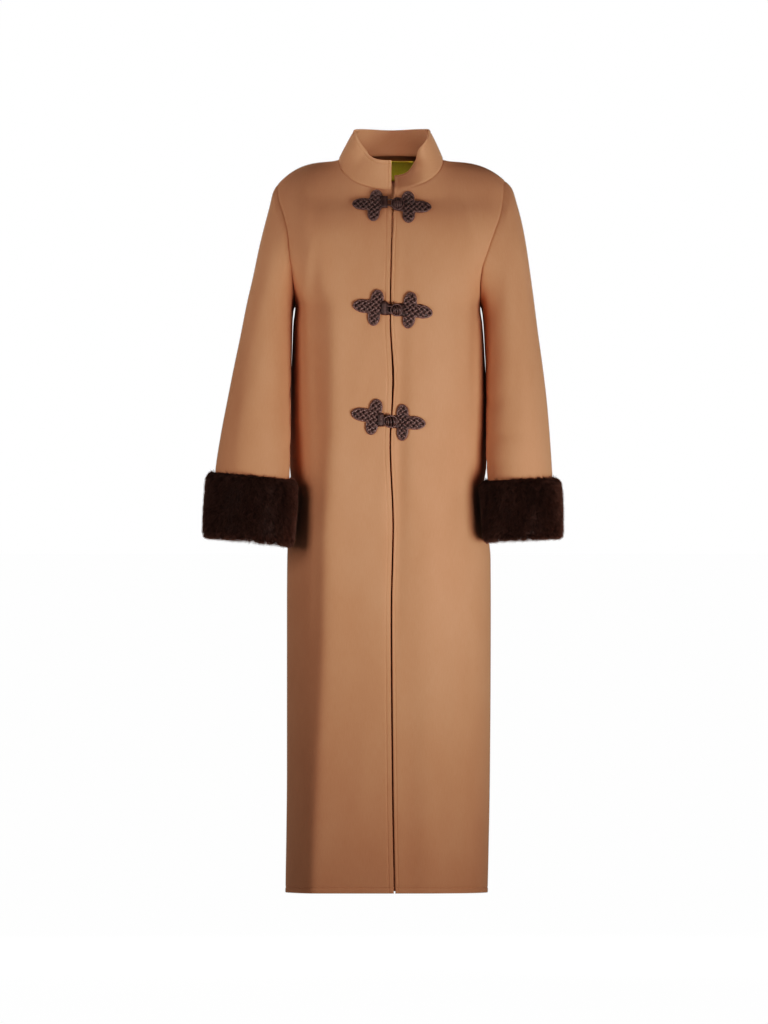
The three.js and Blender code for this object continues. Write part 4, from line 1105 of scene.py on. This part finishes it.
def mat_parts(centre, out, frog):
    """A trefoil: a low felt base, the plaited cords over it, and the thicker cord round it."""
    def place(away, up, rise):
        """Point on the front: turned, shortened on sloping cloth, and raised off it."""
        turned = math.radians(-frog["turns"][out > 0])
        x = centre[0] + out * away * math.cos(turned) - up * math.sin(turned)
        z = centre[1] + (out * away * math.sin(turned) + up * math.cos(turned)) * frog["slope"]
        return on_front(x, z, rise)

    base = softened_outline(1.2, BASE_SIDES)
    levels = ((0.5, ON_CLOTH), (0.97, ON_CLOTH), (1.0, 1.5), (0.8, 2.9), (0.4, 3.1))   # scale, rise
    rings = [place(*(base * scale).T, rise) for scale, rise in levels]
    ends = [place(*np.zeros((2, 1)), rise) for rise in (ON_CLOTH, 3.1)]
    points = np.concatenate([*rings, *ends])
    # The felt base gets no painted light, so it is painted in the dark, shaded colour of the cords.
    parts = [(points, [part[:, ::out] for part in tube_faces(len(rings), BASE_SIDES)], np.zeros(len(points)))]
    for away, up, wave in plait(2.6):
        far = np.maximum(np.hypot(away, up), 1e-6)
        depth = 1 - far / trefoil_reach(away / far, up / far)
        rise = 1.8 + 0.9 * smoothstep(0, 0.45, depth) + 1.0 * wave
        cord, faces, painted_light = cord_mesh(place(away, up, rise), PLAIT_R)
        # Painted shade and light by the weave: under passes are painted darker and over passes get more
        # painted glint.
        over = np.r_[np.repeat(0.6 + 0.4 * wave, CORD_SIDES), [0.3, 0.3]]
        parts.append((cord, faces, painted_light * over))
    edge = softened_outline(EDGE_CORD_R, 150)
    parts.append(cord_mesh(place(*edge.T, ON_CLOTH + EDGE_CORD_R + 0.2), EDGE_CORD_R, closed=True))
    return parts


def loop_parts(frog):
    """The loop's side: the mat, the stem and its wrapping of upright turns, and the loop."""
    parts = mat_parts(frog["loop"], -1, frog)
    neck_x, neck_z = frog["neck"]
    ball_x, ball_z = frog["ball"]
    loop_rise = BALL_R + ON_CLOTH
    free = ball_x - LOOP_R - neck_x - NECK_WIDTH / 2   # from the band to the loop
    wrapped = NECK_WIDTH + (free if 1 < free < 6 else 0)
    for place in np.arange(-NECK_WIDTH / 2 + 1, wrapped - NECK_WIDTH / 2, TURN_STEP):
        beyond = max(place - NECK_WIDTH / 2 + 0.5, 0)   # turns past the band are lower and shorter
        height = (NECK_HEIGHT / 2 - 0.6 * beyond) * frog["slope"]
        z = neck_z + (ball_z - neck_z) * min(beyond / 6, 1)
        # Turns near the middle of the band get more painted glint: a painted highlight down the band.
        light = 0.35 + 0.65 * math.exp(-((place - 1) / 2) ** 2)
        parts.append(upright_turn(neck_x + place, z, height, NECK_RISE - 2.4 - 0.5 * beyond, light))
    for lane in (-1, 1):
        along = np.linspace(0, 1, 14)
        x = neck_x + 2 + (ball_x - LOOP_R * 0.8 - neck_x - 2) * along
        z = neck_z + (ball_z - neck_z) * along + lane * (4.2 + 1.9 * along)
        rise = 4.5 + (loop_rise - 4.1) * smoothstep(0, 1, along)
        parts.append(cord_mesh(on_front(x, z, rise), LOOP_CORD_R))
    angle = np.linspace(0, math.tau, 44, endpoint=False)
    for radius, rise, thick in ((LOOP_R, loop_rise + 0.4, LOOP_CORD_R), (LOOP_R - 0.9, loop_rise - 3.2, 2.0)):
        x, z = ball_x + radius * np.cos(angle), ball_z + radius * np.sin(angle)
        parts.append(cord_mesh(on_front(x, z, rise), thick, closed=True))
    return parts


def knot_parts(frog):
    """The knot's side: the mat, the upright turns that carry the ball under the loop, and the
    ball: a cord wound in upright turns whose size follows a sphere's."""
    parts = mat_parts(frog["knot"], 1, frog)
    (ball_x, ball_z), (knot_x, knot_z) = frog["ball"], frog["knot"]
    # The turns under the ball get half the painted glint.
    for place in np.arange(-8, knot_x - 8 - ball_x, TURN_STEP):
        z = ball_z + (knot_z - ball_z) * max(place, 0) / (knot_x - ball_x)
        height = (11 - 0.06 * min(place, 0) ** 2) * frog["slope"]
        parts.append(upright_turn(ball_x + place, z, height, 2.2, 0.5))
    sweep = np.linspace(0, math.tau * BALL_TURNS, 150)
    dx = -(BALL_R - 0.9) * np.cos(np.linspace(0.12, math.pi - 0.12, len(sweep)))
    radius = np.sqrt(BALL_R ** 2 - dx ** 2)
    rise = ON_CLOTH + BALL_R + radius * np.sin(sweep)
    path = on_front(ball_x + dx, ball_z + radius * np.cos(sweep), rise)
    # The ball's painted glints are a little dimmer than a plain cord's.
    cord, faces, painted_light = cord_mesh(path, BALL_CORD_R)
    parts.append((cord, faces, painted_light * 0.8))
    return parts


for name, frog in FROGS.items():
    for half, parts in (("loop", loop_parts(frog)), ("knot", knot_parts(frog))):
        starts = np.cumsum([0] + [len(points) for points, _, _ in parts])
        faces = [part + begin for begin, (_, lists, _) in zip(starts, parts) for part in lists]
        points = np.concatenate([part[0] for part in parts])
        values = {"painted_light": np.concatenate([part[2] for part in parts])}
        piece = add_piece(f"{name}_frog_with_{half}", points, faces, silk, values=values)
        attach(piece, f"frog_{name}_{half}")
